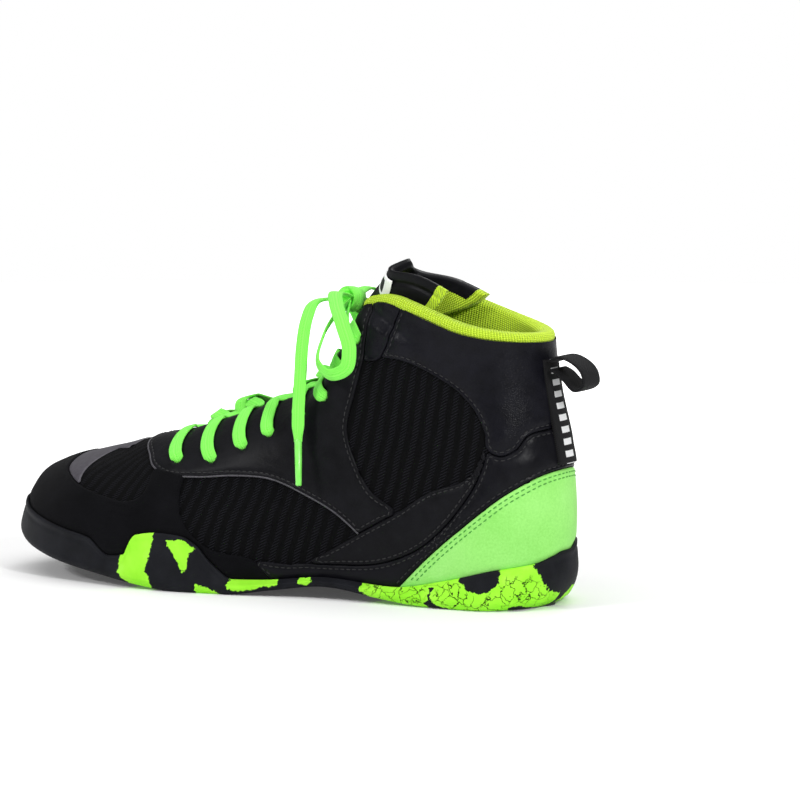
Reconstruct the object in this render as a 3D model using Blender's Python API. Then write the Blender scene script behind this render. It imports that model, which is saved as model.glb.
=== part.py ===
"""Wrestling shoe, left foot: ankle-high upper on a cupped rubber sole, built in Blender.

Metres, +Z up, toe towards +X, the shoe's outer (lateral) side towards +Y. The shape is
worked out with x running forward from the back of the sole and z up from the floor.
A point of the upper's skin is named by t, which runs round the foot from the toe tip (-1)
along the inner side to the back seam (0) and along the outer side to the toe tip (1),
and by q, which rises from the sole (0) to the top edge (1).
"""

import math

import bmesh
import bpy
import numpy as np
from mathutils import Vector

# Driving sizes
SHOE_LENGTH = 0.285
BALL_WIDTH = 0.098
COLLAR_HEIGHT = 0.118
TONGUE_HEIGHT = 0.151
UPPER_WALL = 0.0022
OVERLAY = 0.0010
GAP = 0.0003
HEEL_ROUND = 0.034
TOE_ROUND = 0.050
TOE_SQUARENESS = 2.25
SOLE_LIP = 0.0016
TREAD_INNER = 0.45
WALL_SWELL = 0.55
SOLE_EDGE = 0.0045
INSOLE_THICKNESS = 0.0035
CUFF_RISE = 0.0050
CUFF_DEPTH = 0.034
CUFF_WALL = 0.0030
CUFF_END = 0.305
TONGUE_WALL = 0.0042
LABEL_THICKNESS = 0.0006
LABEL_ROWS = (0.90, 0.985)
LABEL_REACH = 0.36
EYELET_DIAMETER = 0.0042
LACE_WIDTH = 0.0066
LACE_THICKNESS = 0.0013
LACE_LIFT = 0.0027
BOW_GAP = 0.00075
AGLET_LENGTH = 0.020
AGLET_DIAMETER = 0.0034
TAB_WIDTH = 0.0165
TAB_THICKNESS = 0.0014

# How finely the surfaces are divided
STATIONS = 20
RISES = 9
TONGUE_ROWS = 14
TONGUE_DIVISIONS = 13
STRAP_STEPS = 8
EYELET_SIDES = 8
AGLET_SIDES = 12
SIDE_REACH = 0.08

# Plan and height of the upper's sections. Widths are half widths in shares of
# BALL_WIDTH, rise is in shares of COLLAR_HEIGHT, and "along" is the share of each
# level's own run from back to front. The foot keeps to "swing", the top to "lean".
SECTION_COLUMNS = ("along", "foot", "belly", "side", "shoulder", "top", "rise", "swing", "lean")
SECTIONS = (
    (0.000, 0.296, 0.322, 0.308, 0.286, 0.293, 0.990, 0.000, 0.000),
    (0.120, 0.306, 0.330, 0.311, 0.290, 0.298, 1.031, 0.005, 0.000),
    (0.210, 0.301, 0.327, 0.314, 0.298, 0.285, 1.090, 0.020, 0.006),
    (0.280, 0.296, 0.322, 0.318, 0.294, 0.250, 1.126, 0.032, 0.010),
    (0.315, 0.296, 0.322, 0.319, 0.289, 0.218, 1.122, 0.037, 0.011),
    (0.345, 0.297, 0.325, 0.320, 0.284, 0.190, 1.098, 0.042, 0.012),
    (0.375, 0.300, 0.330, 0.321, 0.280, 0.168, 0.986, 0.046, 0.013),
    (0.410, 0.308, 0.339, 0.324, 0.276, 0.150, 0.875, 0.050, 0.014),
    (0.470, 0.330, 0.362, 0.338, 0.268, 0.134, 0.772, 0.046, 0.014),
    (0.560, 0.380, 0.418, 0.378, 0.270, 0.122, 0.706, 0.034, 0.012),
    (0.660, 0.428, 0.464, 0.418, 0.276, 0.107, 0.640, 0.024, 0.006),
    (0.760, 0.444, 0.480, 0.432, 0.276, 0.080, 0.576, 0.010, -0.004),
    (0.800, 0.442, 0.478, 0.431, 0.273, 0.055, 0.560, 0.001, -0.009),
    (0.830, 0.438, 0.474, 0.428, 0.270, 0.000, 0.550, -0.008, -0.014),
    (0.900, 0.418, 0.454, 0.412, 0.262, 0.000, 0.512, -0.040, -0.034),
    (1.000, 0.380, 0.412, 0.384, 0.250, 0.000, 0.458, -0.100, -0.070),
)
THROAT_BASE = 0.830

# Levels of a section from sole to top edge: where each lies along the skin, its share of
# the height, and the back and front ends of its run in shares of SHOE_LENGTH.
LEVEL_COLUMNS = ("skin", "height", "back", "front")
LEVELS = (
    (0.00, 0.00, 0.026, 0.970),
    (0.20, 0.20, 0.011, 0.984),
    (0.45, 0.50, 0.013, 0.974),
    (0.74, 0.80, 0.036, 0.942),
    (1.00, 1.00, 0.048, 0.860),
)

# The sole: half width and middle in shares of BALL_WIDTH, its underside and the
# thickness of its footbed in shares of COLLAR_HEIGHT.
SOLE_COLUMNS = ("along", "half", "swing", "bottom", "footbed")
SOLE = (
    (0.000, 0.347, 0.000, 0.000, 0.055),
    (0.140, 0.357, 0.005, 0.000, 0.055),
    (0.210, 0.352, 0.020, 0.003, 0.049),
    (0.265, 0.342, 0.031, 0.018, 0.036),
    (0.370, 0.335, 0.050, 0.051, 0.020),
    (0.455, 0.372, 0.046, 0.026, 0.026),
    (0.535, 0.428, 0.036, 0.000, 0.040),
    (0.620, 0.482, 0.023, 0.000, 0.044),
    (0.680, 0.502, 0.012, 0.014, 0.042),
    (0.770, 0.502, -0.018, 0.043, 0.042),
    (0.880, 0.478, -0.050, 0.086, 0.042),
    (0.950, 0.452, -0.078, 0.118, 0.042),
    (1.000, 0.432, -0.100, 0.150, 0.042),
)

# The rim of the sole's cup, in shares of COLLAR_HEIGHT
RIM_COLUMNS = ("along", "lateral", "medial")
RIM = (
    (0.000, 0.212, 0.212),
    (0.006, 0.198, 0.230),
    (0.020, 0.176, 0.240),
    (0.075, 0.150, 0.220),
    (0.145, 0.106, 0.185),
    (0.245, 0.066, 0.092),
    (0.380, 0.083, 0.085),
    (0.456, 0.064, 0.070),
    (0.530, 0.058, 0.060),
    (0.563, 0.118, 0.100),
    (0.585, 0.178, 0.150),
    (0.615, 0.212, 0.182),
    (0.655, 0.219, 0.188),
    (0.695, 0.206, 0.180),
    (0.720, 0.130, 0.130),
    (0.751, 0.122, 0.124),
    (0.785, 0.182, 0.178),
    (0.832, 0.205, 0.200),
    (0.928, 0.247, 0.245),
    (1.000, 0.280, 0.280),
)

# Sole's wall between its underside and its rim: how far in from the outline and how
# high, both in shares of SOLE_EDGE.
SOLE_CORNER_COLUMNS = ("inset", "height")
SOLE_CORNER = (
    (1.10, 0.00),
    (0.40, 0.14),
    (0.06, 0.60),
    (0.00, 1.10),
)

# The tongue. Crest x in shares of SHOE_LENGTH and z of TONGUE_HEIGHT, then where its
# edge and its wing's end lie on the skin, how far each stands above the top edge in
# shares of COLLAR_HEIGHT, and how far it has come inside the cuff.
TONGUE_COLUMNS = (
    "x", "z", "edge", "edge_skin", "wing", "wing_skin", "edge_lift", "wing_lift", "inside",
)
TONGUE = (
    (0.748, 0.366, 0.862, 0.890, 0.862, 0.820, 0.000, 0.000, 0.5),
    (0.715, 0.386, 0.825, 0.920, 0.825, 0.820, 0.000, 0.000, 0.5),
    (0.665, 0.440, 0.760, 0.985, 0.760, 0.820, 0.000, 0.000, 0.3),
    (0.593, 0.522, 0.660, 1.000, 0.660, 0.820, 0.000, 0.000, 0.0),
    (0.530, 0.556, 0.570, 1.000, 0.570, 0.820, 0.000, 0.000, 0.0),
    (0.480, 0.580, 0.510, 1.000, 0.505, 0.820, 0.000, 0.000, 0.0),
    (0.445, 0.612, 0.460, 1.000, 0.445, 0.830, 0.000, 0.000, 0.0),
    (0.417, 0.668, 0.425, 1.000, 0.395, 0.850, 0.000, 0.000, 0.1),
    (0.393, 0.755, 0.395, 1.000, 0.345, 0.880, 0.000, 0.000, 1.3),
    (0.372, 0.840, 0.365, 1.000, 0.295, 0.910, 0.000, 0.000, 1.8),
    (0.350, 0.905, 0.338, 1.000, 0.245, 0.950, 0.010, 0.000, 1.9),
    (0.326, 0.957, 0.318, 1.000, 0.200, 1.000, 0.058, 0.015, 1.9),
    (0.298, 1.000, 0.302, 1.000, 0.165, 1.000, 0.118, 0.080, 1.7),
)

# Eyelets in side view: x in shares of SHOE_LENGTH, z of COLLAR_HEIGHT
EYELETS = (
    (0.643, 0.489),
    (0.578, 0.501),
    (0.527, 0.556),
    (0.482, 0.609),
    (0.420, 0.679),
    (0.378, 0.765),
    (0.350, 0.872),
    (0.326, 0.985),
)

# Seams of the overlays in side view, in the same shares as the eyelets
EYESTAY_BACK = (
    (0.257, 0.374),
    (0.290, 0.427),
    (0.313, 0.514),
    (0.333, 0.651),
    (0.322, 0.790),
    (0.311, 0.908),
)
COLLAR_FRONT = (
    (0.307, 0.955),
    (0.291, 1.114),
    (0.285, 1.300),
)
DIAGONAL = (
    (0.118, 0.517),
    (0.196, 0.429),
    (0.244, 0.352),
    (0.311, 0.262),
    (0.401, 0.137),
)
BACK_SEAM = (
    (0.098, 0.600),
    (0.112, 0.483),
    (0.149, 0.347),
    (0.198, 0.234),
    (0.271, 0.156),
    (0.356, 0.137),
)
WAVE = (
    (-0.05, 0.672),
    (0.026, 0.672),
    (0.046, 0.655),
    (0.060, 0.600),
    (0.080, 0.578),
    (0.098, 0.600),
)
COUNTER_TOP = (
    (-0.05, 0.532),
    (0.014, 0.520),
    (0.058, 0.457),
    (0.120, 0.336),
    (0.195, 0.183),
    (0.260, 0.030),
)
TOE_SEAM = (
    (0.817, 0.372),
    (0.872, 0.419),
    (0.884, 0.445),
    (0.890, 0.600),
)
GUARD_TOP = (
    (0.462, 0.064),
    (0.484, 0.128),
    (0.566, 0.180),
    (0.602, 0.252),
    (0.618, 0.330),
    (0.619, 0.438),
    (0.660, 0.438),
    (0.684, 0.455),
    (0.683, 0.411),
    (0.691, 0.344),
    (0.710, 0.333),
    (0.760, 0.342),
    (0.817, 0.372),
)
BELOW_SOLE = -0.10

# Outlines of the overlays, from those seams. The sole's rim, the throat and the collar
# cut what runs past them.
TOE_GUARD = (
    (0.462, BELOW_SOLE),
    *GUARD_TOP,
    *TOE_SEAM[1:],
    (1.050, 0.600),
    (1.050, BELOW_SOLE),
)
TOE_PATCH = (
    *TOE_SEAM,
    (0.750, 0.600),
    (0.764, 0.512),
    (0.798, 0.490),
    (0.814, 0.457),
    (0.819, 0.421),
)
EYESTAY = (
    (0.750, 0.700),
    (0.742, 0.560),
    (0.725, 0.520),
    (0.700, 0.490),
    (0.684, 0.455),
    (0.660, 0.438),
    (0.601, 0.438),
    (0.525, 0.452),
    (0.466, 0.453),
    (0.407, 0.401),
    (0.352, 0.335),
    DIAGONAL[3],
    DIAGONAL[2],
    *EYESTAY_BACK,
    *COLLAR_FRONT,
    (0.420, 1.300),
)
BAND = (
    (0.104, 0.620),
    *DIAGONAL,
    *reversed(BACK_SEAM),
)
ANKLE_PANEL = (
    (-0.05, 1.300),
    *WAVE,
    (0.103, 0.656),
    (0.118, 0.733),
    (0.144, 0.802),
    (0.188, 0.866),
    (0.239, 0.914),
    *COLLAR_FRONT,
)
HEEL_PANEL = (
    *WAVE[:-1],
    *BACK_SEAM,
    (0.420, 0.130),
    (0.480, 0.122),
    (0.458, 0.064),
    (0.458, BELOW_SOLE),
    (0.260, BELOW_SOLE),
    *reversed(COUNTER_TOP),
)
COUNTER = (
    *COUNTER_TOP,
    (0.260, BELOW_SOLE),
    (-0.05, BELOW_SOLE),
)

# The webbing up the back, in shares of COLLAR_HEIGHT, and its pull loop's side view
# as reach behind the strap and height, in shares of TAB_WIDTH
TAB_FOOT = 0.550
TAB_TOP = 0.925
PULL_LOOP = (
    (0.00, -0.02),
    (0.25, 0.10),
    (0.62, 0.02),
    (1.00, -0.34),
    (1.02, -0.62),
    (0.78, -0.76),
    (0.45, -0.50),
    (0.24, -0.32),
    (0.06, -0.24),
)

# The bow. The knot lies on the tongue's crest. The cords' routes from it are in the
# shoe's shares: x of SHOE_LENGTH, y of BALL_WIDTH out from the knot, z of COLLAR_HEIGHT.
KNOT_HEIGHT = 1.082
KNOT_ASIDE = 0.0012
KNOT_SIZE = (0.0075, 0.0062, 0.0060)
LOOP_LEAVES = (-0.20, 1.0, 0.40)
LOOP_RETURNS = (-0.20, 1.0, -0.40)
LOOP_ROUTE = (
    (0.382, 0.160, 1.150),
    (0.362, 0.262, 1.112),
    (0.334, 0.352, 1.045),
    (0.318, 0.378, 0.955),
    (0.322, 0.385, 0.890),
    (0.350, 0.388, 0.862),
    (0.374, 0.370, 0.898),
    (0.378, 0.300, 1.000),
    (0.380, 0.190, 1.062),
)
END_LEAVES = (0.80, 0.60, -0.10)
END_ROUTE = (
    (0.424, 0.135, 1.110),
    (0.421, 0.230, 1.055),
    (0.417, 0.295, 0.957),
    (0.414, 0.328, 0.850),
    (0.412, 0.360, 0.700),
    (0.406, 0.392, 0.602),
)

COLOURS = {
    "rubber": ((0.020, 0.020, 0.024), 0.55),
    "mesh": ((0.010, 0.010, 0.014), 0.85),
    "leather": ((0.014, 0.014, 0.018), 0.40),
    "suede": ((0.011, 0.011, 0.013), 0.90),
    "counter": ((0.18, 0.62, 0.12), 0.55),
    "lining": ((0.50, 0.78, 0.03), 0.90),
    "lace": ((0.14, 0.90, 0.08), 0.75),
    "grey": ((0.13, 0.12, 0.15), 0.50),
    "webbing": ((0.014, 0.014, 0.017), 0.80),
    "foam": ((0.020, 0.020, 0.022), 0.90),
    "label": ((0.60, 0.60, 0.60), 0.70),
    "plastic": ((0.30, 0.85, 0.20), 0.30),
}


def column(table, names, name):
    """One named column of a table, as an array."""
    return np.array([row[names.index(name)] for row in table])


def cubic(at, knots, values, slopes):
    """Cubic curve through values at the knots, with the slopes given there."""
    at = np.clip(np.asarray(at, float), knots[0], knots[-1])
    cell = np.clip(np.searchsorted(knots, at, side="right") - 1, 0, len(knots) - 2)
    width = knots[cell + 1] - knots[cell]
    t = (at - knots[cell]) / width
    first = (2 * t**3 - 3 * t**2 + 1) * values[cell] + (t**3 - 2 * t**2 + t) * width * slopes[cell]
    second = (3 * t**2 - 2 * t**3) * values[cell + 1] + (t**3 - t**2) * width * slopes[cell + 1]
    return first + second


def smooth(at, knots, values):
    """A curve that keeps its bends round: each slope lies between its chords'."""
    knots, values = np.asarray(knots, float), np.asarray(values, float)
    step = np.diff(knots)
    chord = np.diff(values) / step
    slopes = np.empty_like(values)
    share = step[1:] / (step[:-1] + step[1:])
    slopes[1:-1] = share * chord[:-1] + (1 - share) * chord[1:]
    slopes[0] = 1.5 * chord[0] - 0.5 * slopes[1]
    slopes[-1] = 1.5 * chord[-1] - 0.5 * slopes[-2]
    return cubic(at, knots, values, slopes)


def steady(at, knots, values):
    """A curve that never swings past its knots: it is level at each peak and dip."""
    knots, values = np.asarray(knots, float), np.asarray(values, float)
    chord = np.diff(values) / np.diff(knots)
    slopes = np.zeros_like(values)
    same = chord[:-1] * chord[1:] > 0
    slopes[1:-1][same] = 2 * (chord[:-1] * chord[1:])[same] / (chord[:-1] + chord[1:])[same]
    return cubic(at, knots, values, slopes)


def rise_through(q, knots, values, end_slope):
    """One curve for each q: values holds a column of knot values for each, and
    end_slope says how much of its last slope each keeps."""
    step = np.diff(knots)
    chord = np.diff(values, axis=0) / step[:, None]
    slopes = np.empty_like(values)
    share = (step[1:] / (step[:-1] + step[1:]))[:, None]
    slopes[1:-1] = share * chord[:-1] + (1 - share) * chord[1:]
    slopes[0] = 1.5 * chord[0] - 0.5 * slopes[1]
    slopes[-1] = (1.5 * chord[-1] - 0.5 * slopes[-2]) * end_slope
    cell = np.clip(np.searchsorted(knots, q, side="right") - 1, 0, len(knots) - 2)
    pick = np.arange(len(q))
    width = step[cell]
    t = (q - knots[cell]) / width
    first = (2 * t**3 - 3 * t**2 + 1) * values[cell, pick]
    first += (t**3 - 2 * t**2 + t) * width * slopes[cell, pick]
    second = (3 * t**2 - 2 * t**3) * values[cell + 1, pick]
    second += (t**3 - t**2) * width * slopes[cell + 1, pick]
    return first + second


def rounding(along, run):
    """The share of its width that a level keeps near its round heel and toe."""
    from_back = np.clip(along * run / HEEL_ROUND, 0.0, 1.0)
    from_front = np.clip((1 - along) * run / TOE_ROUND, 0.0, 1.0)
    heel = np.sqrt(np.maximum(1 - (1 - from_back) ** 2, 0.0))
    toe = np.maximum(1 - (1 - from_front) ** TOE_SQUARENESS, 0.0) ** (1 / TOE_SQUARENESS)
    return heel * toe


def section(name, along):
    return smooth(
        along, column(SECTIONS, SECTION_COLUMNS, "along"), column(SECTIONS, SECTION_COLUMNS, name)
    )


def level(name):
    return column(LEVELS, LEVEL_COLUMNS, name)


def underside(x):
    """Height of the sole's underside."""
    knots = column(SOLE, SOLE_COLUMNS, "along")
    return COLLAR_HEIGHT * steady(x / SHOE_LENGTH, knots, column(SOLE, SOLE_COLUMNS, "bottom"))


def footbed(x):
    """Height of the floor of the sole's cup, on which the upper stands."""
    knots = column(SOLE, SOLE_COLUMNS, "along")
    thick = steady(x / SHOE_LENGTH, knots, column(SOLE, SOLE_COLUMNS, "footbed"))
    return underside(x) + COLLAR_HEIGHT * thick


def along_of(t):
    """The share of a level's run at t, so that t goes evenly round the foot."""
    along = 0.5 - 0.5 * np.cos(np.linspace(0, math.pi, 1201))
    run = (level("front")[1] - level("back")[1]) * SHOE_LENGTH
    y = section("belly", along) * BALL_WIDTH * rounding(along, run)
    length = np.concatenate([[0], np.cumsum(np.hypot(np.diff(along) * run, np.diff(y)))])
    return np.interp(np.abs(t), length / length[-1], along)


def t_of(along):
    """The t at which a level has gone a share of its run."""
    table = np.linspace(0, 1, 801)
    return np.interp(along, along_of(table), table)


def skin(t, q):
    """Points of the upper's outer skin. Each level of a section runs round the foot,
    and a cubic curve rises through the five levels."""
    t, q = np.broadcast_arrays(np.asarray(t, float), np.asarray(q, float))
    shape = t.shape
    t, q = (t.ravel() + 1) % 2 - 1, q.ravel()
    side = np.where(t < 0, -1.0, 1.0)
    along = along_of(t)
    back, front = level("back") * SHOE_LENGTH, level("front") * SHOE_LENGTH
    height = level("height")[:, None]
    x = back[:, None] + (front - back)[:, None] * along
    half = np.array([section(name, along) for name in ("foot", "belly", "side", "shoulder", "top")])
    half[4] = np.where(along < THROAT_BASE, np.maximum(half[4], 0.0), 0.0)
    half *= np.array([rounding(along, run) for run in front - back])
    swing, lean = section("swing", along), section("lean", along)
    y = (swing + (lean - swing) * height + side * half) * BALL_WIDTH
    low = footbed(x[0]) + GAP
    z = low + (section("rise", along) * COLLAR_HEIGHT - low) * height
    open_top = 1 - np.clip((along - 0.40) / (THROAT_BASE - 0.40), 0.0, 1.0)
    ones = np.ones(len(q))
    points = [
        rise_through(q, level("skin"), x, ones),
        rise_through(q, level("skin"), y, ones),
        rise_through(q, level("skin"), z, open_top),
    ]
    return np.stack(points, 1).reshape(shape + (3,))


def outward(t, q):
    """Unit normals of the skin."""
    t, q = np.broadcast_arrays(np.asarray(t, float), np.asarray(q, float))
    high, low = np.minimum(q + 0.01, 1.0), np.maximum(q - 0.01, 0.0)
    beside = np.minimum(q, 0.985)
    round_foot = skin(t + 0.003, beside) - skin(t - 0.003, beside)
    upward = skin(t, high) - skin(t, low)
    normal = np.cross(upward, round_foot)
    return normal / np.linalg.norm(normal, axis=-1, keepdims=True)


def rim_height(t):
    """Height of the sole's rim."""
    along = along_of(t)
    knots = column(RIM, RIM_COLUMNS, "along")
    lateral = steady(along, knots, column(RIM, RIM_COLUMNS, "lateral"))
    medial = steady(along, knots, column(RIM, RIM_COLUMNS, "medial"))
    rim = np.where(t < 0, medial, lateral) * COLLAR_HEIGHT
    return np.maximum(rim, footbed(along * SHOE_LENGTH) + SOLE_LIP)


def skin_share_at(t, height):
    """The q at which the skin reaches a height, for each t."""
    q = np.linspace(0, 0.6, 121)
    z = skin(t[:, None], q[None, :])[:, :, 2]
    return np.array([np.interp(h, row, q) for h, row in zip(height, z)])


def ring(extra=()):
    """Values of t for stations round the foot, from toe tip to toe tip."""
    half = np.linspace(0, 1, STATIONS + 1)
    for value in extra:
        half = half[np.abs(half - value) > 0.5 / STATIONS]
    half = np.unique(np.concatenate([[0.0], half, extra, [1.0]]))
    return np.concatenate([-half[::-1], half[1:]])


def grid_normals(points):
    """Unit normals of a grid of points, outwards where rows run round the foot from
    -1 to 1 and columns run upwards."""
    across = np.gradient(points, axis=0)
    upward = np.gradient(points, axis=1)
    normal = np.cross(upward, across)
    return normal / (np.linalg.norm(normal, axis=-1, keepdims=True) + 1e-12)


def merged(vertices, faces):
    """The surface with doubled points joined and closed-up faces dropped."""
    bm = bmesh.new()
    points = [bm.verts.new(p) for p in vertices]
    for face in faces:
        bm.faces.new([points[i] for i in face])
    bmesh.ops.remove_doubles(bm, verts=bm.verts, dist=2e-5)
    bmesh.ops.dissolve_degenerate(bm, edges=bm.edges, dist=1e-6)
    bmesh.ops.triangulate(bm, faces=bm.faces, quad_method="FIXED")
    return bm


def grid_faces(rows, columns, start=0):
    """Faces of a grid whose points are numbered along its columns."""
    faces = []
    for i in range(rows - 1):
        for j in range(columns - 1):
            corner = start + i * columns + j
            faces.append((corner, corner + 1, corner + columns + 1, corner + columns))
    return faces


def thicken(bm, low, high):
    """Turns an open surface into a closed wall between two distances along its normals."""
    bmesh.ops.recalc_face_normals(bm, faces=bm.faces)
    bm.normal_update()
    outer = list(bm.verts)
    normals = [v.normal.copy() for v in outer]
    inner = [bm.verts.new(v.co + n * low) for v, n in zip(outer, normals)]
    pair = dict(zip(outer, inner))
    for face in list(bm.faces):
        bm.faces.new([pair[v] for v in reversed(face.verts)])
    for edge in [e for e in bm.edges if len(e.link_faces) == 1 and e.verts[0] in pair]:
        loop = edge.link_loops[0]
        a, b = loop.vert, loop.link_loop_next.vert
        bm.faces.new((b, a, pair[a], pair[b]))
    for vertex, normal in zip(outer, normals):
        vertex.co += normal * high
    return bm


def finished(name, bm, colour, origin=(0, 0, 0)):
    """A new object from a bmesh, with its material."""
    bmesh.ops.recalc_face_normals(bm, faces=bm.faces)
    mesh = bpy.data.meshes.new(name)
    bm.to_mesh(mesh)
    bm.free()
    item = bpy.data.objects.new(name, mesh)
    bpy.context.collection.objects.link(item)
    item.location = origin
    mesh.materials.append(material(name, *COLOURS[colour]))
    mesh.shade_smooth()
    mesh.set_sharp_from_angle(angle=math.radians(40))
    return item


def material(name, colour, roughness):
    made = bpy.data.materials.new(name)
    made.use_nodes = True
    shader = made.node_tree.nodes["Principled BSDF"]
    shader.inputs["Base Color"].default_value = (*colour, 1.0)
    shader.inputs["Roughness"].default_value = roughness
    return made


def combined(name, first, others, operation, colour):
    """The solid that a Boolean makes from one object and several more."""
    for other in others:
        step = first.modifiers.new(operation, "BOOLEAN")
        step.operation = operation
        step.object = other
        step.solver = "EXACT"
    graph = bpy.context.evaluated_depsgraph_get()
    mesh = bpy.data.meshes.new_from_object(first.evaluated_get(graph), depsgraph=graph)
    for item in [first, *others]:
        bpy.data.objects.remove(item)
    bm = bmesh.new()
    bm.from_mesh(mesh)
    bpy.data.meshes.remove(mesh)
    bmesh.ops.remove_doubles(bm, verts=bm.verts, dist=2e-6)
    return finished(name, bm, colour)


def loft(rings):
    """A solid skinned over rings of points, with its two ends capped."""
    bm = bmesh.new()
    rows = [[bm.verts.new(p) for p in one] for one in rings]
    count = len(rows[0])
    for a, b in zip(rows[:-1], rows[1:]):
        for i in range(count):
            j = (i + 1) % count
            bm.faces.new((a[i], a[j], b[j], b[i]))
    bm.faces.new(list(reversed(rows[0])))
    bm.faces.new(rows[-1])
    return bm


def padded_sheet(outer, inner):
    """A solid between two grids of points, closed round all four edges."""
    rows, columns = outer.shape[:2]
    count = rows * columns
    faces = grid_faces(rows, columns)
    faces += [tuple(reversed([count + i for i in face])) for face in faces]
    for i in range(rows - 1):
        a, b = i * columns, (i + 1) * columns
        faces.append((a, b, count + b, count + a))
        a, b = a + columns - 1, b + columns - 1
        faces.append((b, a, count + a, count + b))
    for j in range(columns - 1):
        faces.append((j + 1, j, count + j, count + j + 1))
        a = count - columns + j
        faces.append((a, a + 1, count + a + 1, count + a))
    return merged(np.concatenate([outer.reshape(-1, 3), inner.reshape(-1, 3)]), faces)


def skin_surface(t_values, low_q):
    """The skin as an open surface from low_q up. All such surfaces share their grid, so
    that one laid over another keeps an even gap to it."""
    low_q = np.broadcast_to(low_q, t_values.shape)
    q = np.maximum(np.linspace(0, 1, RISES + 1)[None, :], low_q[:, None])
    points = skin(t_values[:, None], q)
    return merged(points.reshape(-1, 3), grid_faces(len(t_values), RISES + 1))


def side_prism(name, outline, low_y=-SIDE_REACH, high_y=SIDE_REACH):
    """A block with an outline in side view, each edge drawn in by half a gap."""
    points = np.array(outline) * (SHOE_LENGTH, COLLAR_HEIGHT)
    before, after = np.roll(points, 1, axis=0), np.roll(points, -1, axis=0)
    turn = np.sum(points[:, 0] * after[:, 1] - points[:, 1] * after[:, 0])
    first = (points - before) / np.linalg.norm(points - before, axis=1, keepdims=True)
    second = (after - points) / np.linalg.norm(after - points, axis=1, keepdims=True)
    inward = np.sign(turn) * np.stack([-(first + second)[:, 1], (first + second)[:, 0]], 1)
    points = points + inward / (1 + np.sum(first * second, 1))[:, None] * GAP
    rings = [[(x, y, z) for x, z in points] for y in (low_y, high_y)]
    bm = loft(rings)
    bmesh.ops.triangulate(bm, faces=bm.faces, ngon_method="EAR_CLIP")
    return finished(name, bm, "mesh")


def overlay_blank(name):
    """The layer over the skin, above the sole's rim, that overlays are cut from."""
    t = ring(marked_stations())
    low = skin_share_at(t, rim_height(t) + 2 * GAP)
    return finished(name, thicken(skin_surface(t, low), 1.4 * GAP, 1.4 * GAP + OVERLAY), "mesh")


def marked_stations():
    """Stations that the sole's rim and the cuff's ends need."""
    marks = [*column(RIM, RIM_COLUMNS, "along")[1:-1], CUFF_END]
    return [float(t_of(mark)) for mark in marks]


def make_overlay(name, outline, colour, low_y=-SIDE_REACH, high_y=SIDE_REACH, holes=False):
    cutter = side_prism(name + "_outline", outline, low_y, high_y)
    blank = overlay_blank(name + "_blank")
    item = combined(name, blank, [cutter], "INTERSECT", colour)
    if holes:
        item = combined(name, item, [eyelet_pins()], "DIFFERENCE", colour)
    return item


def place_on_skin(side, x, z):
    """t and q of the skin's point that has these x and z in side view."""
    t_values = side * np.linspace(0.0, 1.0, 161)
    q_values = np.linspace(0.3, 1.0, 71)
    points = skin(t_values[:, None], q_values[None, :])
    miss = np.hypot(points[:, :, 0] - x, points[:, :, 2] - z)
    i, j = np.unravel_index(np.argmin(miss), miss.shape)
    t, q = t_values[i], q_values[j]
    for _ in range(4):
        here = skin(t, q)
        by_t = (skin(t + 1e-3, q) - here) / 1e-3
        by_q = (here - skin(t, q - 1e-3)) / 1e-3
        slopes = np.array([[by_t[0], by_q[0]], [by_t[2], by_q[2]]])
        step = np.linalg.solve(slopes, [x - here[0], z - here[2]])
        t, q = t + step[0], min(q + step[1], 0.995)
    return float(t), float(q)


def eyelet_places(side):
    """Where one side's eyelets lie on the skin, from the toe up."""
    return [place_on_skin(side, x * SHOE_LENGTH, z * COLLAR_HEIGHT) for x, z in EYELETS]


def eyelet_pins():
    """All the eyelet holes as one cutter."""
    bm = bmesh.new()
    for side in (1, -1):
        for t, q in eyelet_places(side):
            centre, normal = Vector(skin(t, q)), Vector(outward(t, q))
            turn = normal.to_track_quat("Z", "Y").to_matrix().to_4x4()
            turn.translation = centre
            bmesh.ops.create_cone(
                bm, cap_ends=True, segments=EYELET_SIDES, radius1=EYELET_DIAMETER / 2,
                radius2=EYELET_DIAMETER / 2, depth=4 * (UPPER_WALL + OVERLAY), matrix=turn,
            )
    return finished("eyelet_pins", bm, "mesh")


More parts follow.
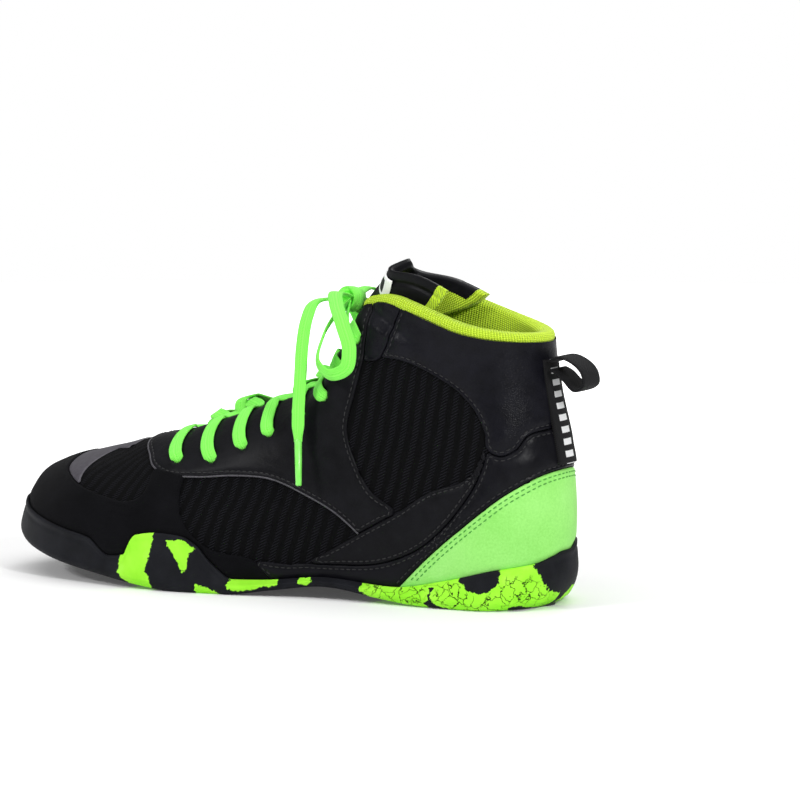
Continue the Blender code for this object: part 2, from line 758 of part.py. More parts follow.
def make_outsole():
    """A cup: underside, rounded edge, wall up to the rim, and down to the footbed."""
    t = ring(marked_stations())
    along, side = along_of(t), np.where(t < 0, -1.0, 1.0)
    knots = column(SOLE, SOLE_COLUMNS, "along")
    half = smooth(along, knots, column(SOLE, SOLE_COLUMNS, "half")) * rounding(along, SHOE_LENGTH)
    swing = smooth(along, knots, column(SOLE, SOLE_COLUMNS, "swing"))
    outline = np.stack([along * SHOE_LENGTH, (swing + side * half) * BALL_WIDTH], 1)
    middle = np.stack([along * SHOE_LENGTH, swing * BALL_WIDTH], 1)
    edge = np.gradient(outline, axis=0)
    normal = np.stack([edge[:, 1], -edge[:, 0]], 1)
    normal = normal / np.linalg.norm(normal, axis=1, keepdims=True) * -1.0
    normal[0] = normal[-1] = (1.0, 0.0)
    rim = rim_height(t)
    low = underside(outline[:, 0])
    corner = np.minimum(SOLE_EDGE, WALL_SWELL * (rim - low))
    tread = middle + (outline - middle) * TREAD_INNER
    lines = [np.column_stack([tread, low])]
    for inset, height in SOLE_CORNER:
        flat = outline - normal * (inset * corner)[:, None]
        lines.append(np.column_stack([flat, low + height * corner]))
    top_q = skin_share_at(t, rim)
    wall = skin(t, top_q)
    wall_normal = outward(t, top_q)
    lip = wall + wall_normal * (GAP + SOLE_LIP)
    lines.append(lines[-1] + (lip - lines[-1]) * WALL_SWELL)
    lines.append(lip)
    lines.append(wall + wall_normal * 2 * GAP)
    for q in np.arange(math.ceil(top_q.max() * RISES) - 1, 0, -1) / RISES:
        inside_q = np.minimum(top_q, q)
        lines.append(skin(t, inside_q) + outward(t, inside_q) * 2 * GAP)
    foot = skin(t, 0.0) + outward(t, 0.0) * 2 * GAP
    foot[:, 2] = footbed(foot[:, 0])
    lines.append(foot)
    inner = 0.5 * foot + 0.5 * np.column_stack([middle, foot[:, 2]])
    inner[:, 0], inner[:, 2] = foot[:, 0], footbed(foot[:, 0])
    lines.append(inner)
    points = np.stack(lines, 1)
    rows, columns = points.shape[:2]
    faces = grid_faces(rows, columns)
    for j in (0, columns - 1):
        for i in range(rows // 2):
            a, b = i * columns + j, (rows - 1 - i) * columns + j
            c, d = (i + 1) * columns + j, (rows - 2 - i) * columns + j
            faces.append((a, b, d, c) if i < rows // 2 - 1 else (a, b, c))
    bm = merged(points.reshape(-1, 3), faces)
    return finished("outsole", bm, "rubber")


def make_insole():
    """A plate on the footbed, clear of the upper's wall all round."""
    t = ring()
    foot, normal = skin(t, 0.0), outward(t, 0.0)
    flat = normal[:, :2] / np.linalg.norm(normal[:, :2], axis=1, keepdims=True)
    edge = foot[:, :2] - flat * (UPPER_WALL + 5 * GAP)
    rows = len(t)
    vertices, faces = [], []
    for lift in (2 * GAP, 2 * GAP + INSOLE_THICKNESS):
        z = footbed(edge[:, 0]) + lift
        vertices += [(x, y, h) for (x, y), h in zip(edge, z)]
    for i in range(rows - 1):
        faces.append((i, i + 1, rows + i + 1, rows + i))
    for start in (0, rows):
        for i in range(rows // 2):
            a, b = start + i, start + rows - 1 - i
            c, d = a + 1, b - 1
            faces.append((a, c, d, b) if d != c else (a, c, b))
    return finished("insole", merged(vertices, faces), "foam")


def make_upper():
    """The boot's wall, with the eyelets cut through."""
    bm = thicken(skin_surface(ring(marked_stations()), 0.0), -UPPER_WALL, 0.0)
    wall = finished("upper_wall", bm, "mesh")
    return combined("upper", wall, [eyelet_pins()], "DIFFERENCE", "mesh")


def make_cuff():
    """The knit lining inside the collar, with a rim that stands on the collar's edge."""
    end = t_of(CUFF_END)
    t = ring(marked_stations())
    t = np.concatenate([[-end], t[np.abs(t) < end - 0.01], [end]])
    edge = skin(t, 1.0)
    up = edge - skin(t, 0.98)
    up /= np.linalg.norm(up, axis=1, keepdims=True)
    out = outward(t, 1.0)
    length = np.linalg.norm(edge - skin(t, 0.5), axis=1) / 0.5
    near, far = UPPER_WALL + 3 * GAP, UPPER_WALL + 3 * GAP + CUFF_WALL
    face = GAP + 0.5 * OVERLAY
    rim_width = far + face
    profile = []
    for share in (1.0, 0.5, 0.12):
        q = 1 - share * CUFF_DEPTH / length
        profile.append(skin(t, q) - outward(t, q) * far)
    profile.append(edge - out * far + up * (CUFF_RISE * 0.55))
    for turn in (0.25, 0.5, 0.75):
        angle = math.pi * turn
        sideways = -far + rim_width * 0.5 * (1 - math.cos(angle))
        rise = CUFF_RISE * (0.55 + 0.45 * math.sin(angle))
        profile.append(edge + out * sideways + up * rise)
    profile.append(edge + out * face + up * (CUFF_RISE * 0.5))
    profile.append(edge + out * face * 0.8 + up * GAP)
    profile.append(edge - out * near + up * GAP)
    for share in (0.12, 0.5, 1.0):
        q = 1 - share * CUFF_DEPTH / length
        profile.append(skin(t, q) - outward(t, q) * near)
    return finished("collar_lining", loft(np.stack(profile, 1)), "lining")


def tongue_surface(rows, across):
    """Outer face of the tongue: rows run from its foot to its top, and across runs
    from the inner wing's end (-1) over the crest (0) to the outer wing's end (1)."""
    at = np.linspace(0, 1, len(TONGUE))
    get = {n: smooth(rows, at, column(TONGUE, TONGUE_COLUMNS, n)) for n in TONGUE_COLUMNS}
    under = UPPER_WALL + 2 * GAP + (CUFF_WALL + GAP) * np.maximum(get["inside"], 0)
    edge_q = np.clip(get["edge_skin"], 0, 1)
    wing_q = np.clip(get["wing_skin"], 0, 1)
    up = np.array([0.0, 0.0, 1.0])
    lines = []
    for side in (-1, 1):
        t_edge, t_wing = side * t_of(get["edge"]), side * t_of(get["wing"])
        edge = skin(t_edge, edge_q) - outward(t_edge, edge_q) * under[:, None]
        edge += up * (np.maximum(get["edge_lift"], 0) * COLLAR_HEIGHT)[:, None]
        wing = skin(t_wing, wing_q) - outward(t_wing, wing_q) * under[:, None]
        wing += up * (np.maximum(get["wing_lift"], 0) * COLLAR_HEIGHT)[:, None]
        t_mid, q_mid = 0.5 * (t_edge + t_wing), 0.5 * (edge_q + wing_q)
        half_way = skin(t_mid, q_mid) - outward(t_mid, q_mid) * under[:, None]
        lift = 0.5 * np.maximum(get["edge_lift"] + get["wing_lift"], 0)
        half_way += up * (lift * COLLAR_HEIGHT)[:, None]
        lines.append((wing, half_way, edge))
    crest_y = 0.5 * (lines[0][2][:, 1] + lines[1][2][:, 1])
    crest = np.stack([get["x"] * SHOE_LENGTH, crest_y, get["z"] * TONGUE_HEIGHT], 1)
    ordered = [*lines[0], crest, *reversed(lines[1])]
    knots = np.array([-1.0, -0.8, -0.6, 0.0, 0.6, 0.8, 1.0])
    values = np.stack(ordered)
    out = np.empty((len(rows), len(across), 3))
    for i in range(len(rows)):
        for axis in range(3):
            out[i, :, axis] = smooth(across, knots, values[:, i, axis])
    return out


def make_tongue():
    rows = np.linspace(0, 1, TONGUE_ROWS)
    across = np.linspace(-1, 1, TONGUE_DIVISIONS)
    outer = tongue_surface(rows, across)
    inner = outer - tongue_normals(outer) * TONGUE_WALL
    return finished("tongue", padded_sheet(outer, inner), "leather")


def strap(name, path, faces_out, width, thickness, colour):
    """A flat band along a path, lying square to the directions that it faces."""
    ahead = np.gradient(path, axis=0)
    ahead /= np.linalg.norm(ahead, axis=1, keepdims=True)
    across = np.cross(faces_out, ahead)
    across /= np.linalg.norm(across, axis=1, keepdims=True)
    facing = np.cross(ahead, across)
    half, thin = across * width / 2, facing * thickness / 2
    corners = [path - half - thin, path + half - thin, path + half + thin, path - half + thin]
    rings = np.stack(corners, 1)
    return finished(name, loft(rings), colour)


def through(points, steps):
    """A smooth path through points, with evenly shared steps."""
    points = np.asarray(points, float)
    length = np.concatenate([[0], np.cumsum(np.linalg.norm(np.diff(points, axis=0), axis=1))])
    at = np.linspace(0, length[-1], steps + 1)
    return np.stack([smooth(at, length, points[:, k]) for k in range(3)], 1)


def make_heel_strap():
    """Webbing that lies over the heel's leather, and the loop folded out of its top."""
    t = ring(marked_stations())
    blank = finished(
        "strap_blank",
        thicken(skin_surface(t, 0.3), 2 * GAP + OVERLAY, 2 * GAP + OVERLAY + TAB_THICKNESS),
        "webbing",
    )
    low, high = TAB_FOOT * COLLAR_HEIGHT, TAB_TOP * COLLAR_HEIGHT
    bm = bmesh.new()
    bmesh.ops.create_cube(bm, size=1.0)
    for vertex in bm.verts:
        vertex.co.x *= 0.06
        vertex.co.y *= TAB_WIDTH
        vertex.co.z = low if vertex.co.z < 0 else high
    block = finished("strap_block", bm, "webbing")
    return combined("heel_strap", blank, [block], "INTERSECT", "webbing")


def make_pull_loop():
    """A loop of the same webbing, standing out behind the strap."""
    top = TAB_TOP * COLLAR_HEIGHT
    q = float(skin_share_of(top))
    back = skin(0.0, q)[0] - (3 * GAP + OVERLAY + TAB_THICKNESS * 1.5)
    side = [(back - out * TAB_WIDTH, 0.0, top + up * TAB_WIDTH) for out, up in PULL_LOOP]
    path = through(side, 2 * STRAP_STEPS)
    ahead = np.gradient(path, axis=0)
    faces_out = np.cross(ahead, (0.0, 1.0, 0.0))
    return strap("pull_loop", path, faces_out, TAB_WIDTH, TAB_THICKNESS, "webbing")


def skin_share_of(height):
    """The q at which the back seam reaches a height."""
    q = np.linspace(0, 1, 201)
    return np.interp(height, skin(0.0, q)[:, 2], q)


def make_label():
    """A plain patch sewn on the tongue's front, near its top."""
    rows, across = np.linspace(*LABEL_ROWS, 6), np.linspace(-LABEL_REACH, LABEL_REACH, 9)
    outer = tongue_surface(rows, across)
    normal = tongue_normals(outer)
    base, face = outer + normal * GAP * 1.5, outer + normal * (GAP * 1.5 + LABEL_THICKNESS)
    return finished("tongue_label", padded_sheet(face, base), "label")


def tongue_normals(points):
    """Unit normals of a stretch of the tongue's outer face."""
    normal = grid_normals(points)
    return normal if normal[:, :, 0].sum() + normal[:, :, 2].sum() > 0 else -normal


def nearest(point, line):
    """Index of the line's point that lies nearest in side view."""
    return int(np.argmin(np.hypot(line[:, 0] - point[0], line[:, 2] - point[2])))


def lace_bed(index):
    """Where a band through one pair of eyelets would lie: points and directions out,
    from the inner side's eyelet over its throat edge, the tongue and back down."""
    lift = GAP + OVERLAY + LACE_LIFT + LACE_THICKNESS / 2
    rows = np.linspace(0.05, 1, 240)
    crest = tongue_surface(rows, np.array([0.0]))[:, 0]
    points, normals = [], []
    row = None
    for side in (-1, 1):
        t, q = eyelet_places(side)[index]
        eyelet, facing = skin(t, q), outward(t, q)
        t_edge = side * t_of(np.linspace(CUFF_END, THROAT_BASE, 200))
        edges = skin(t_edge, 1.0)
        at = nearest(eyelet, edges)
        edge, edge_out = edges[at], outward(t_edge[at], 0.97)
        points.append((eyelet + facing * lift, edge + edge_out * (lift + 3 * GAP)))
        normals.append((facing, edge_out))
        row = rows[nearest(edge, crest)]
    across = np.array([-0.32, 0.0, 0.32])
    patch = tongue_surface(np.array([row - 0.01, row, row + 0.01]), across)
    over = tongue_normals(patch)[1]
    bed = patch[1] + over * (LACE_LIFT + LACE_THICKNESS / 2)
    points = [*points[0], *bed, *reversed(points[1])]
    normals = [*normals[0], *over, *reversed(normals[1])]
    return np.array(points), np.array(normals)


def make_laces():
    """The criss-cross over the tongue: two bands between each two pairs of eyelets, and
    a bar at the lowest, joined where they meet."""
    beds = [lace_bed(index) for index in range(len(EYELETS))]
    share = np.linspace(0, 1, len(beds[0][0]))[:, None]
    pairs = [(0, 0)]
    for low in range(len(EYELETS) - 1):
        pairs += [(low, low + 1), (low + 1, low)]
    bands = []
    for first, last in pairs:
        points = beds[first][0] * (1 - share) + beds[last][0] * share
        normals = beds[first][1] * (1 - share) + beds[last][1] * share
        path, faces_out = through(points, STRAP_STEPS), through(normals, STRAP_STEPS)
        path -= faces_out * (LACE_THICKNESS * (0.3 if first > last else 0.0))
        name = f"lace_{first}_{last}"
        bands.append(strap(name, path, faces_out, LACE_WIDTH, LACE_THICKNESS, "lace"))
    return combined("laces", bands[0], bands[1:], "UNION", "lace")


def knot_place():
    """The knot's centre, so that it rests on the tongue's crest."""
    rows = np.linspace(0.5, 1, 101)
    crest = tongue_surface(rows, np.array([-0.05, 0.05]))
    out = tongue_normals(crest).mean(axis=1)
    crest = crest.mean(axis=1)
    at = int(np.argmin(np.abs(crest[:, 2] - KNOT_HEIGHT * COLLAR_HEIGHT)))
    reach = np.linalg.norm(out[at] * KNOT_SIZE)
    return crest[at] + out[at] * (reach + GAP) + (0.0, KNOT_ASIDE, 0.0)


def off_knot(direction, side):
    """The point just clear of the knot in a direction."""
    direction = np.array(direction) * (1, side, 1)
    direction /= np.linalg.norm(direction)
    return knot_place() + direction * (1 / np.linalg.norm(direction / KNOT_SIZE) + BOW_GAP)


def bow_points(table, side):
    shares = np.array(table) * (SHOE_LENGTH, side * BALL_WIDTH, COLLAR_HEIGHT)
    return shares + (0.0, knot_place()[1], 0.0)


def carried(path, facing):
    """The direction that a band faces along its path, turned no more than it must be."""
    ahead = np.gradient(path, axis=0)
    ahead /= np.linalg.norm(ahead, axis=1, keepdims=True)
    out = []
    facing = np.array(facing, float)
    for direction in ahead:
        facing = facing - direction * facing.dot(direction)
        facing /= np.linalg.norm(facing)
        out.append(facing)
    return np.array(out)


def make_bow():
    """Knot, two loops and two ends with their tips, hanging over both sides."""
    bm = bmesh.new()
    bmesh.ops.create_uvsphere(bm, u_segments=16, v_segments=9, radius=1.0)
    for vertex in bm.verts:
        vertex.co = Vector(vertex.co * Vector(KNOT_SIZE))
    finished("lace_knot", bm, "lace", knot_place())
    for side, where in ((1, "lateral"), (-1, "medial")):
        leaves, returns = off_knot(LOOP_LEAVES, side), off_knot(LOOP_RETURNS, side)
        path = through([leaves, *bow_points(LOOP_ROUTE, side), returns], 3 * STRAP_STEPS)
        faces_out = carried(path, (0, 0, 1))
        strap(f"lace_loop_{where}", path, faces_out, LACE_WIDTH, LACE_THICKNESS, "lace")
        leaves = off_knot(END_LEAVES, side)
        path = through([leaves, *bow_points(END_ROUTE, side)], 2 * STRAP_STEPS)
        faces_out = carried(path, (0, 0, 1))
        strap(f"lace_end_{where}", path, faces_out, LACE_WIDTH, LACE_THICKNESS, "lace")
        make_aglet(f"aglet_{where}", path[-1], path[-1] - path[-2])


def make_aglet(name, end, ahead):
    """The stiff tip that goes on from a lace's end."""
    ahead = Vector(ahead).normalized()
    turn = ahead.to_track_quat("Z", "Y").to_matrix().to_4x4()
    turn.translation = Vector(end) + ahead * (GAP + AGLET_LENGTH / 2)
    bm = bmesh.new()
    bmesh.ops.create_cone(
        bm, cap_ends=True, segments=AGLET_SIDES, radius1=AGLET_DIAMETER / 2,
        radius2=0.8 * AGLET_DIAMETER / 2, depth=AGLET_LENGTH, matrix=turn,
    )
    return finished(name, bm, "plastic")


def stand_at_middle():
    """Moves everything so that the origin lies on the floor under the middle of the
    shoe's box, its hanging laces left out."""
    boxes = []
    for item in bpy.data.objects:
        if not item.name.startswith(("lace_", "aglet_")):
            boxes.append(np.array([item.location + Vector(corner) for corner in item.bound_box]))
    corners = np.concatenate(boxes)
    middle = (corners.min(axis=0) + corners.max(axis=0)) / 2
    for item in bpy.data.objects:
        item.location -= Vector((middle[0], middle[1], corners[:, 2].min()))


def clear_scene():
    for item in list(bpy.data.objects):
        bpy.data.objects.remove(item)


def build():
    clear_scene()
    make_outsole()
    make_insole()
    make_upper()
    make_cuff()
    make_tongue()
    make_label()
    make_laces()
    make_bow()
    make_heel_strap()
    make_pull_loop()
    make_overlay("toe_guard", TOE_GUARD, "suede")
    make_overlay("toe_patch", TOE_PATCH, "grey")
    make_overlay("eyestay", EYESTAY, "leather", holes=True)
    make_overlay("band_lateral", BAND, "leather", low_y=0.0)
    make_overlay("band_medial", BAND, "leather", high_y=0.0)
    make_overlay("ankle_panel", ANKLE_PANEL, "leather")
    make_overlay("heel_panel", HEEL_PANEL, "leather")
    make_overlay("counter", COUNTER, "counter")
    stand_at_middle()


build()
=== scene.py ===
"""Looks of the wrestling shoe: a left boot with knit panels, leather overlays, a marbled
rubber sole and flat laces tied in a bow.

The shape is worked out as in the part's own source: x runs forward from the back of the
sole, z up from the floor and y to the outer side. A point of the upper's skin is named by
t, which runs round the foot from the toe tip (-1) along the inner side to the back seam
(0) and on along the outer side (1), and by q, which rises from the sole (0) to the top
edge (1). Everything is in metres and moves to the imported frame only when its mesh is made.
"""
import math

import bmesh
import bpy
import numpy as np
from mathutils import Matrix, Vector


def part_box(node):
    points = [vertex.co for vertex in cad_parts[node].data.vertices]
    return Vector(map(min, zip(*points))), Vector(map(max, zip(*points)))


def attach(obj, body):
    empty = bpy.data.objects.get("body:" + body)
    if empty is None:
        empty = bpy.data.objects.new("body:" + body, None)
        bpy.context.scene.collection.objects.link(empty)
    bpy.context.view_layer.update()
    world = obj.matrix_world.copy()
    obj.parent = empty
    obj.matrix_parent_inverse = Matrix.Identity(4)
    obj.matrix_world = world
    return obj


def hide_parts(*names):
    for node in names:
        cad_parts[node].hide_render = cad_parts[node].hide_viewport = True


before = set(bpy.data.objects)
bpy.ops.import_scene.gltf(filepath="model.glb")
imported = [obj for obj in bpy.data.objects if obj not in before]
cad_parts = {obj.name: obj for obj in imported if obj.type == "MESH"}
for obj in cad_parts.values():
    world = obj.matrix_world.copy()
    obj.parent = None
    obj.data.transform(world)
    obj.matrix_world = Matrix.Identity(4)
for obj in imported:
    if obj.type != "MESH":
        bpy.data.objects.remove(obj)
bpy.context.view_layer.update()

# Sizes of the shoe, as in the part
SHOE_LENGTH = 0.285
BALL_WIDTH = 0.098
COLLAR_HEIGHT = 0.118
TONGUE_HEIGHT = 0.151
UPPER_WALL = 0.0022
OVERLAY = 0.0010
GAP = 0.0003
HEEL_ROUND = 0.034
TOE_ROUND = 0.050
TOE_SQUARENESS = 2.25
SOLE_LIP = 0.0016
SOLE_EDGE = 0.0045
TREAD_INNER = 0.45
WALL_SWELL = 0.55
INSOLE_THICKNESS = 0.0035
CUFF_RISE = 0.0046
CUFF_DEPTH = 0.034
CUFF_WALL = 0.0030
CUFF_END = 0.345
TONGUE_WALL = 0.0042
LACE_WIDTH = 0.0066
LACE_THICKNESS = 0.0013
AGLET_LENGTH = 0.020
AGLET_DIAMETER = 0.0034
TAB_WIDTH = 0.0165
TAB_THICKNESS = 0.0014
EYELET_DIAMETER = 0.0042

# How fine the surfaces are
HALF_STEPS = 215
RISES = 76

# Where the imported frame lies: its origin is under the middle of the shoe
SHIFT = np.array([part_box("outsole")[0].x, sum(c.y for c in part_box("pull_loop")) / 2, 0.0])

# Plan and height of the upper's sections. Widths are half widths in shares of
# BALL_WIDTH, rise is in shares of COLLAR_HEIGHT, and "along" is the share of each
# level's own run from back to front. The foot keeps to "swing", the top to "lean".
SECTION_COLUMNS = ("along", "foot", "belly", "side", "shoulder", "top", "rise", "swing", "lean")
SECTIONS = (
    (0.000, 0.296, 0.322, 0.308, 0.286, 0.293, 0.990, 0.000, 0.000),
    (0.120, 0.306, 0.330, 0.311, 0.290, 0.298, 1.031, 0.005, 0.000),
    (0.210, 0.301, 0.327, 0.314, 0.298, 0.285, 1.090, 0.020, 0.006),
    (0.280, 0.296, 0.322, 0.318, 0.294, 0.250, 1.126, 0.032, 0.010),
    (0.315, 0.296, 0.322, 0.319, 0.289, 0.218, 1.122, 0.037, 0.011),
    (0.345, 0.297, 0.325, 0.320, 0.284, 0.190, 1.098, 0.042, 0.012),
    (0.375, 0.300, 0.330, 0.321, 0.280, 0.168, 0.986, 0.046, 0.013),
    (0.410, 0.308, 0.339, 0.324, 0.276, 0.150, 0.875, 0.050, 0.014),
    (0.470, 0.330, 0.362, 0.338, 0.268, 0.134, 0.772, 0.046, 0.014),
    (0.560, 0.380, 0.418, 0.378, 0.270, 0.122, 0.706, 0.034, 0.012),
    (0.660, 0.428, 0.464, 0.418, 0.276, 0.107, 0.640, 0.024, 0.006),
    (0.760, 0.444, 0.480, 0.432, 0.276, 0.080, 0.576, 0.010, -0.004),
    (0.800, 0.442, 0.478, 0.431, 0.273, 0.055, 0.560, 0.001, -0.009),
    (0.830, 0.438, 0.474, 0.428, 0.270, 0.000, 0.550, -0.008, -0.014),
    (0.900, 0.418, 0.454, 0.412, 0.262, 0.000, 0.512, -0.040, -0.034),
    (1.000, 0.380, 0.412, 0.384, 0.250, 0.000, 0.458, -0.100, -0.070),
)
THROAT_BASE = 0.830

# Levels of a section from sole to top edge: where each lies along the skin, its share of
# the height, and the back and front ends of its run in shares of SHOE_LENGTH.
LEVEL_COLUMNS = ("skin", "height", "back", "front")
LEVELS = (
    (0.00, 0.00, 0.026, 0.970),
    (0.20, 0.20, 0.011, 0.984),
    (0.45, 0.50, 0.013, 0.974),
    (0.74, 0.80, 0.036, 0.942),
    (1.00, 1.00, 0.048, 0.860),
)

# The sole: half width and middle in shares of BALL_WIDTH, its underside and the
# thickness of its footbed in shares of COLLAR_HEIGHT.
SOLE_COLUMNS = ("along", "half", "swing", "bottom", "footbed")
SOLE = (
    (0.000, 0.347, 0.000, 0.000, 0.055),
    (0.140, 0.357, 0.005, 0.000, 0.055),
    (0.210, 0.352, 0.020, 0.003, 0.049),
    (0.265, 0.342, 0.031, 0.018, 0.036),
    (0.370, 0.335, 0.050, 0.051, 0.020),
    (0.455, 0.372, 0.046, 0.026, 0.026),
    (0.535, 0.428, 0.036, 0.000, 0.040),
    (0.620, 0.482, 0.023, 0.000, 0.044),
    (0.680, 0.502, 0.012, 0.014, 0.042),
    (0.770, 0.502, -0.018, 0.043, 0.042),
    (0.880, 0.478, -0.050, 0.086, 0.042),
    (0.950, 0.452, -0.078, 0.118, 0.042),
    (1.000, 0.432, -0.100, 0.150, 0.042),
)

# The rim of the sole's cup, in shares of COLLAR_HEIGHT
RIM_COLUMNS = ("along", "lateral", "medial")
RIM = (
    (0.000, 0.212, 0.212),
    (0.006, 0.198, 0.230),
    (0.020, 0.176, 0.240),
    (0.075, 0.150, 0.220),
    (0.145, 0.106, 0.185),
    (0.245, 0.066, 0.092),
    (0.380, 0.083, 0.085),
    (0.456, 0.064, 0.070),
    (0.530, 0.058, 0.060),
    (0.563, 0.118, 0.100),
    (0.585, 0.178, 0.150),
    (0.615, 0.212, 0.182),
    (0.655, 0.219, 0.188),
    (0.695, 0.206, 0.180),
    (0.720, 0.130, 0.130),
    (0.751, 0.122, 0.124),
    (0.785, 0.182, 0.178),
    (0.832, 0.205, 0.200),
    (0.928, 0.247, 0.245),
    (1.000, 0.280, 0.280),
)

# Sole's wall between its underside and its rim: how far in from the outline and how
# high, both in shares of SOLE_EDGE.
SOLE_CORNER = (
    (1.10, 0.00),
    (0.40, 0.14),
    (0.06, 0.60),
    (0.00, 1.10),
)

# The tongue. Crest x in shares of SHOE_LENGTH and z of TONGUE_HEIGHT, then where its
# edge and its wing's end lie on the skin, how far each stands above the top edge in
# shares of COLLAR_HEIGHT, and how far it has come inside the cuff.
TONGUE_COLUMNS = (
    "x", "z", "edge", "edge_skin", "wing", "wing_skin", "edge_lift", "wing_lift", "inside",
)
TONGUE = (
    (0.748, 0.366, 0.862, 0.890, 0.862, 0.820, 0.000, 0.000, 0.5),
    (0.715, 0.386, 0.825, 0.920, 0.825, 0.820, 0.000, 0.000, 0.5),
    (0.665, 0.440, 0.760, 0.985, 0.760, 0.820, 0.000, 0.000, 0.3),
    (0.593, 0.522, 0.660, 1.000, 0.660, 0.820, 0.000, 0.000, 0.0),
    (0.530, 0.556, 0.570, 1.000, 0.570, 0.820, 0.000, 0.000, 0.0),
    (0.480, 0.580, 0.510, 1.000, 0.505, 0.820, 0.000, 0.000, 0.0),
    (0.445, 0.612, 0.460, 1.000, 0.445, 0.830, 0.000, 0.000, 0.0),
    (0.417, 0.668, 0.425, 1.000, 0.395, 0.850, 0.000, 0.000, 0.1),
    (0.393, 0.755, 0.395, 1.000, 0.345, 0.880, 0.000, 0.000, 1.3),
    (0.372, 0.840, 0.365, 1.000, 0.295, 0.910, 0.000, 0.000, 1.8),
    (0.350, 0.905, 0.338, 1.000, 0.245, 0.950, 0.010, 0.000, 1.9),
    (0.326, 0.957, 0.318, 1.000, 0.200, 1.000, 0.058, 0.015, 1.9),
    (0.298, 1.000, 0.302, 1.000, 0.165, 1.000, 0.118, 0.080, 1.7),
)

# Eyelets in side view: x in shares of SHOE_LENGTH, z of COLLAR_HEIGHT
EYELETS = (
    (0.643, 0.489),
    (0.578, 0.501),
    (0.527, 0.556),
    (0.482, 0.609),
    (0.420, 0.679),
    (0.378, 0.765),
    (0.350, 0.872),
    (0.326, 0.985),
)

# Seams in side view that the overlays share, in shares of SHOE_LENGTH and COLLAR_HEIGHT
BELOW_SOLE = -0.10
GUARD_BACK = (
    (0.462, BELOW_SOLE), (0.462, 0.064), (0.484, 0.128), (0.566, 0.180), (0.602, 0.252),
    (0.618, 0.330), (0.619, 0.440),
)
VAMP_EDGE = (
    (0.684, 0.455), (0.683, 0.411), (0.691, 0.352), (0.710, 0.333), (0.760, 0.342), (0.817, 0.372),
)
TOE_SEAM = ((0.817, 0.372), (0.850, 0.398), (0.872, 0.419), (0.882, 0.439), (0.886, 0.500), (0.888, 0.600))
PATCH_BACK = ((0.750, 0.600), (0.764, 0.512), (0.798, 0.490), (0.814, 0.457), (0.821, 0.421), (0.817, 0.372))
STAY_EDGE = (
    (0.750, 0.700), (0.742, 0.560), (0.725, 0.520), (0.706, 0.492), (0.690, 0.462), (0.660, 0.436),
    (0.601, 0.434), (0.525, 0.450), (0.466, 0.446), (0.407, 0.401), (0.352, 0.339), (0.311, 0.262),
)
STAY_BACK = (
    (0.244, 0.352), (0.257, 0.374), (0.290, 0.427), (0.313, 0.514), (0.333, 0.651), (0.322, 0.790),
    (0.311, 0.908),
)
STAY_TOP = ((0.311, 0.908), (0.310, 0.960), (0.307, 1.100), (0.302, 1.300))
COLLAR_FRONT = ((0.280, 0.926), (0.270, 0.974), (0.261, 1.045), (0.252, 1.095), (0.240, 1.300))
DIAGONAL = ((0.104, 0.600), (0.118, 0.517), (0.196, 0.429), (0.244, 0.352), (0.311, 0.262), (0.401, 0.137))
BACK_SEAM = (
    (0.098, 0.600), (0.112, 0.483), (0.149, 0.347), (0.198, 0.234), (0.271, 0.156), (0.356, 0.137),
    (0.401, 0.137),
)
WAVE = (
    (-0.050, 0.672), (0.010, 0.673), (0.026, 0.672), (0.046, 0.655), (0.060, 0.600), (0.080, 0.578),
    (0.098, 0.600), (0.103, 0.656),
)
ANKLE_ARC = ((0.103, 0.656), (0.118, 0.733), (0.144, 0.802), (0.188, 0.866), (0.239, 0.914), (0.280, 0.926))
COUNTER_TOP = (
    (-0.050, 0.532), (0.014, 0.520), (0.058, 0.457), (0.120, 0.336), (0.195, 0.183), (0.260, 0.030),
)
FOXING = ((0.401, 0.137), (0.430, 0.131), (0.484, 0.124), (0.462, 0.064))

# Outlines of the overlays, as runs of seams with a corner between each two
OUTLINES = {
    "toe_guard": (GUARD_BACK, VAMP_EDGE, TOE_SEAM, ((1.050, 0.600), (1.050, BELOW_SOLE))),
    "toe_patch": (TOE_SEAM, PATCH_BACK),
    "eyestay": (STAY_EDGE, STAY_BACK, STAY_TOP, ((0.420, 1.300),)),
    "band": (DIAGONAL, BACK_SEAM[::-1]),
    "ankle_panel": (((-0.05, 1.300),), WAVE, ANKLE_ARC, COLLAR_FRONT),
    "facing": (STAY_TOP[::-1], ((0.290, 0.912),), COLLAR_FRONT),
    "heel_panel": (
        WAVE[:-1], BACK_SEAM, FOXING, ((0.458, BELOW_SOLE), (0.260, BELOW_SOLE)), COUNTER_TOP[::-1],
    ),
    "counter": (COUNTER_TOP, ((0.260, BELOW_SOLE), (-0.050, BELOW_SOLE))),
}


# Curves

def column(table, names, name):
    """One named column of a table, as an array."""
    return np.array([row[names.index(name)] for row in table])


def cubic_piece(t, width, start, start_slope, end, end_slope):
    """One piece of a cubic curve, t running from nought to one along it."""
    first = (2 * t**3 - 3 * t**2 + 1) * start + (t**3 - 2 * t**2 + t) * width * start_slope
    second = (3 * t**2 - 2 * t**3) * end + (t**3 - t**2) * width * end_slope
    return first + second


def cubic(at, knots, values, slopes):
    """Cubic curve through values at the knots, with the slopes given there."""
    at = np.clip(np.asarray(at, float), knots[0], knots[-1])
    cell = np.clip(np.searchsorted(knots, at, side="right") - 1, 0, len(knots) - 2)
    width = knots[cell + 1] - knots[cell]
    t = (at - knots[cell]) / width
    if values.ndim > 1:
        t, width = t[:, None], width[:, None]
    return cubic_piece(t, width, values[cell], slopes[cell], values[cell + 1], slopes[cell + 1])


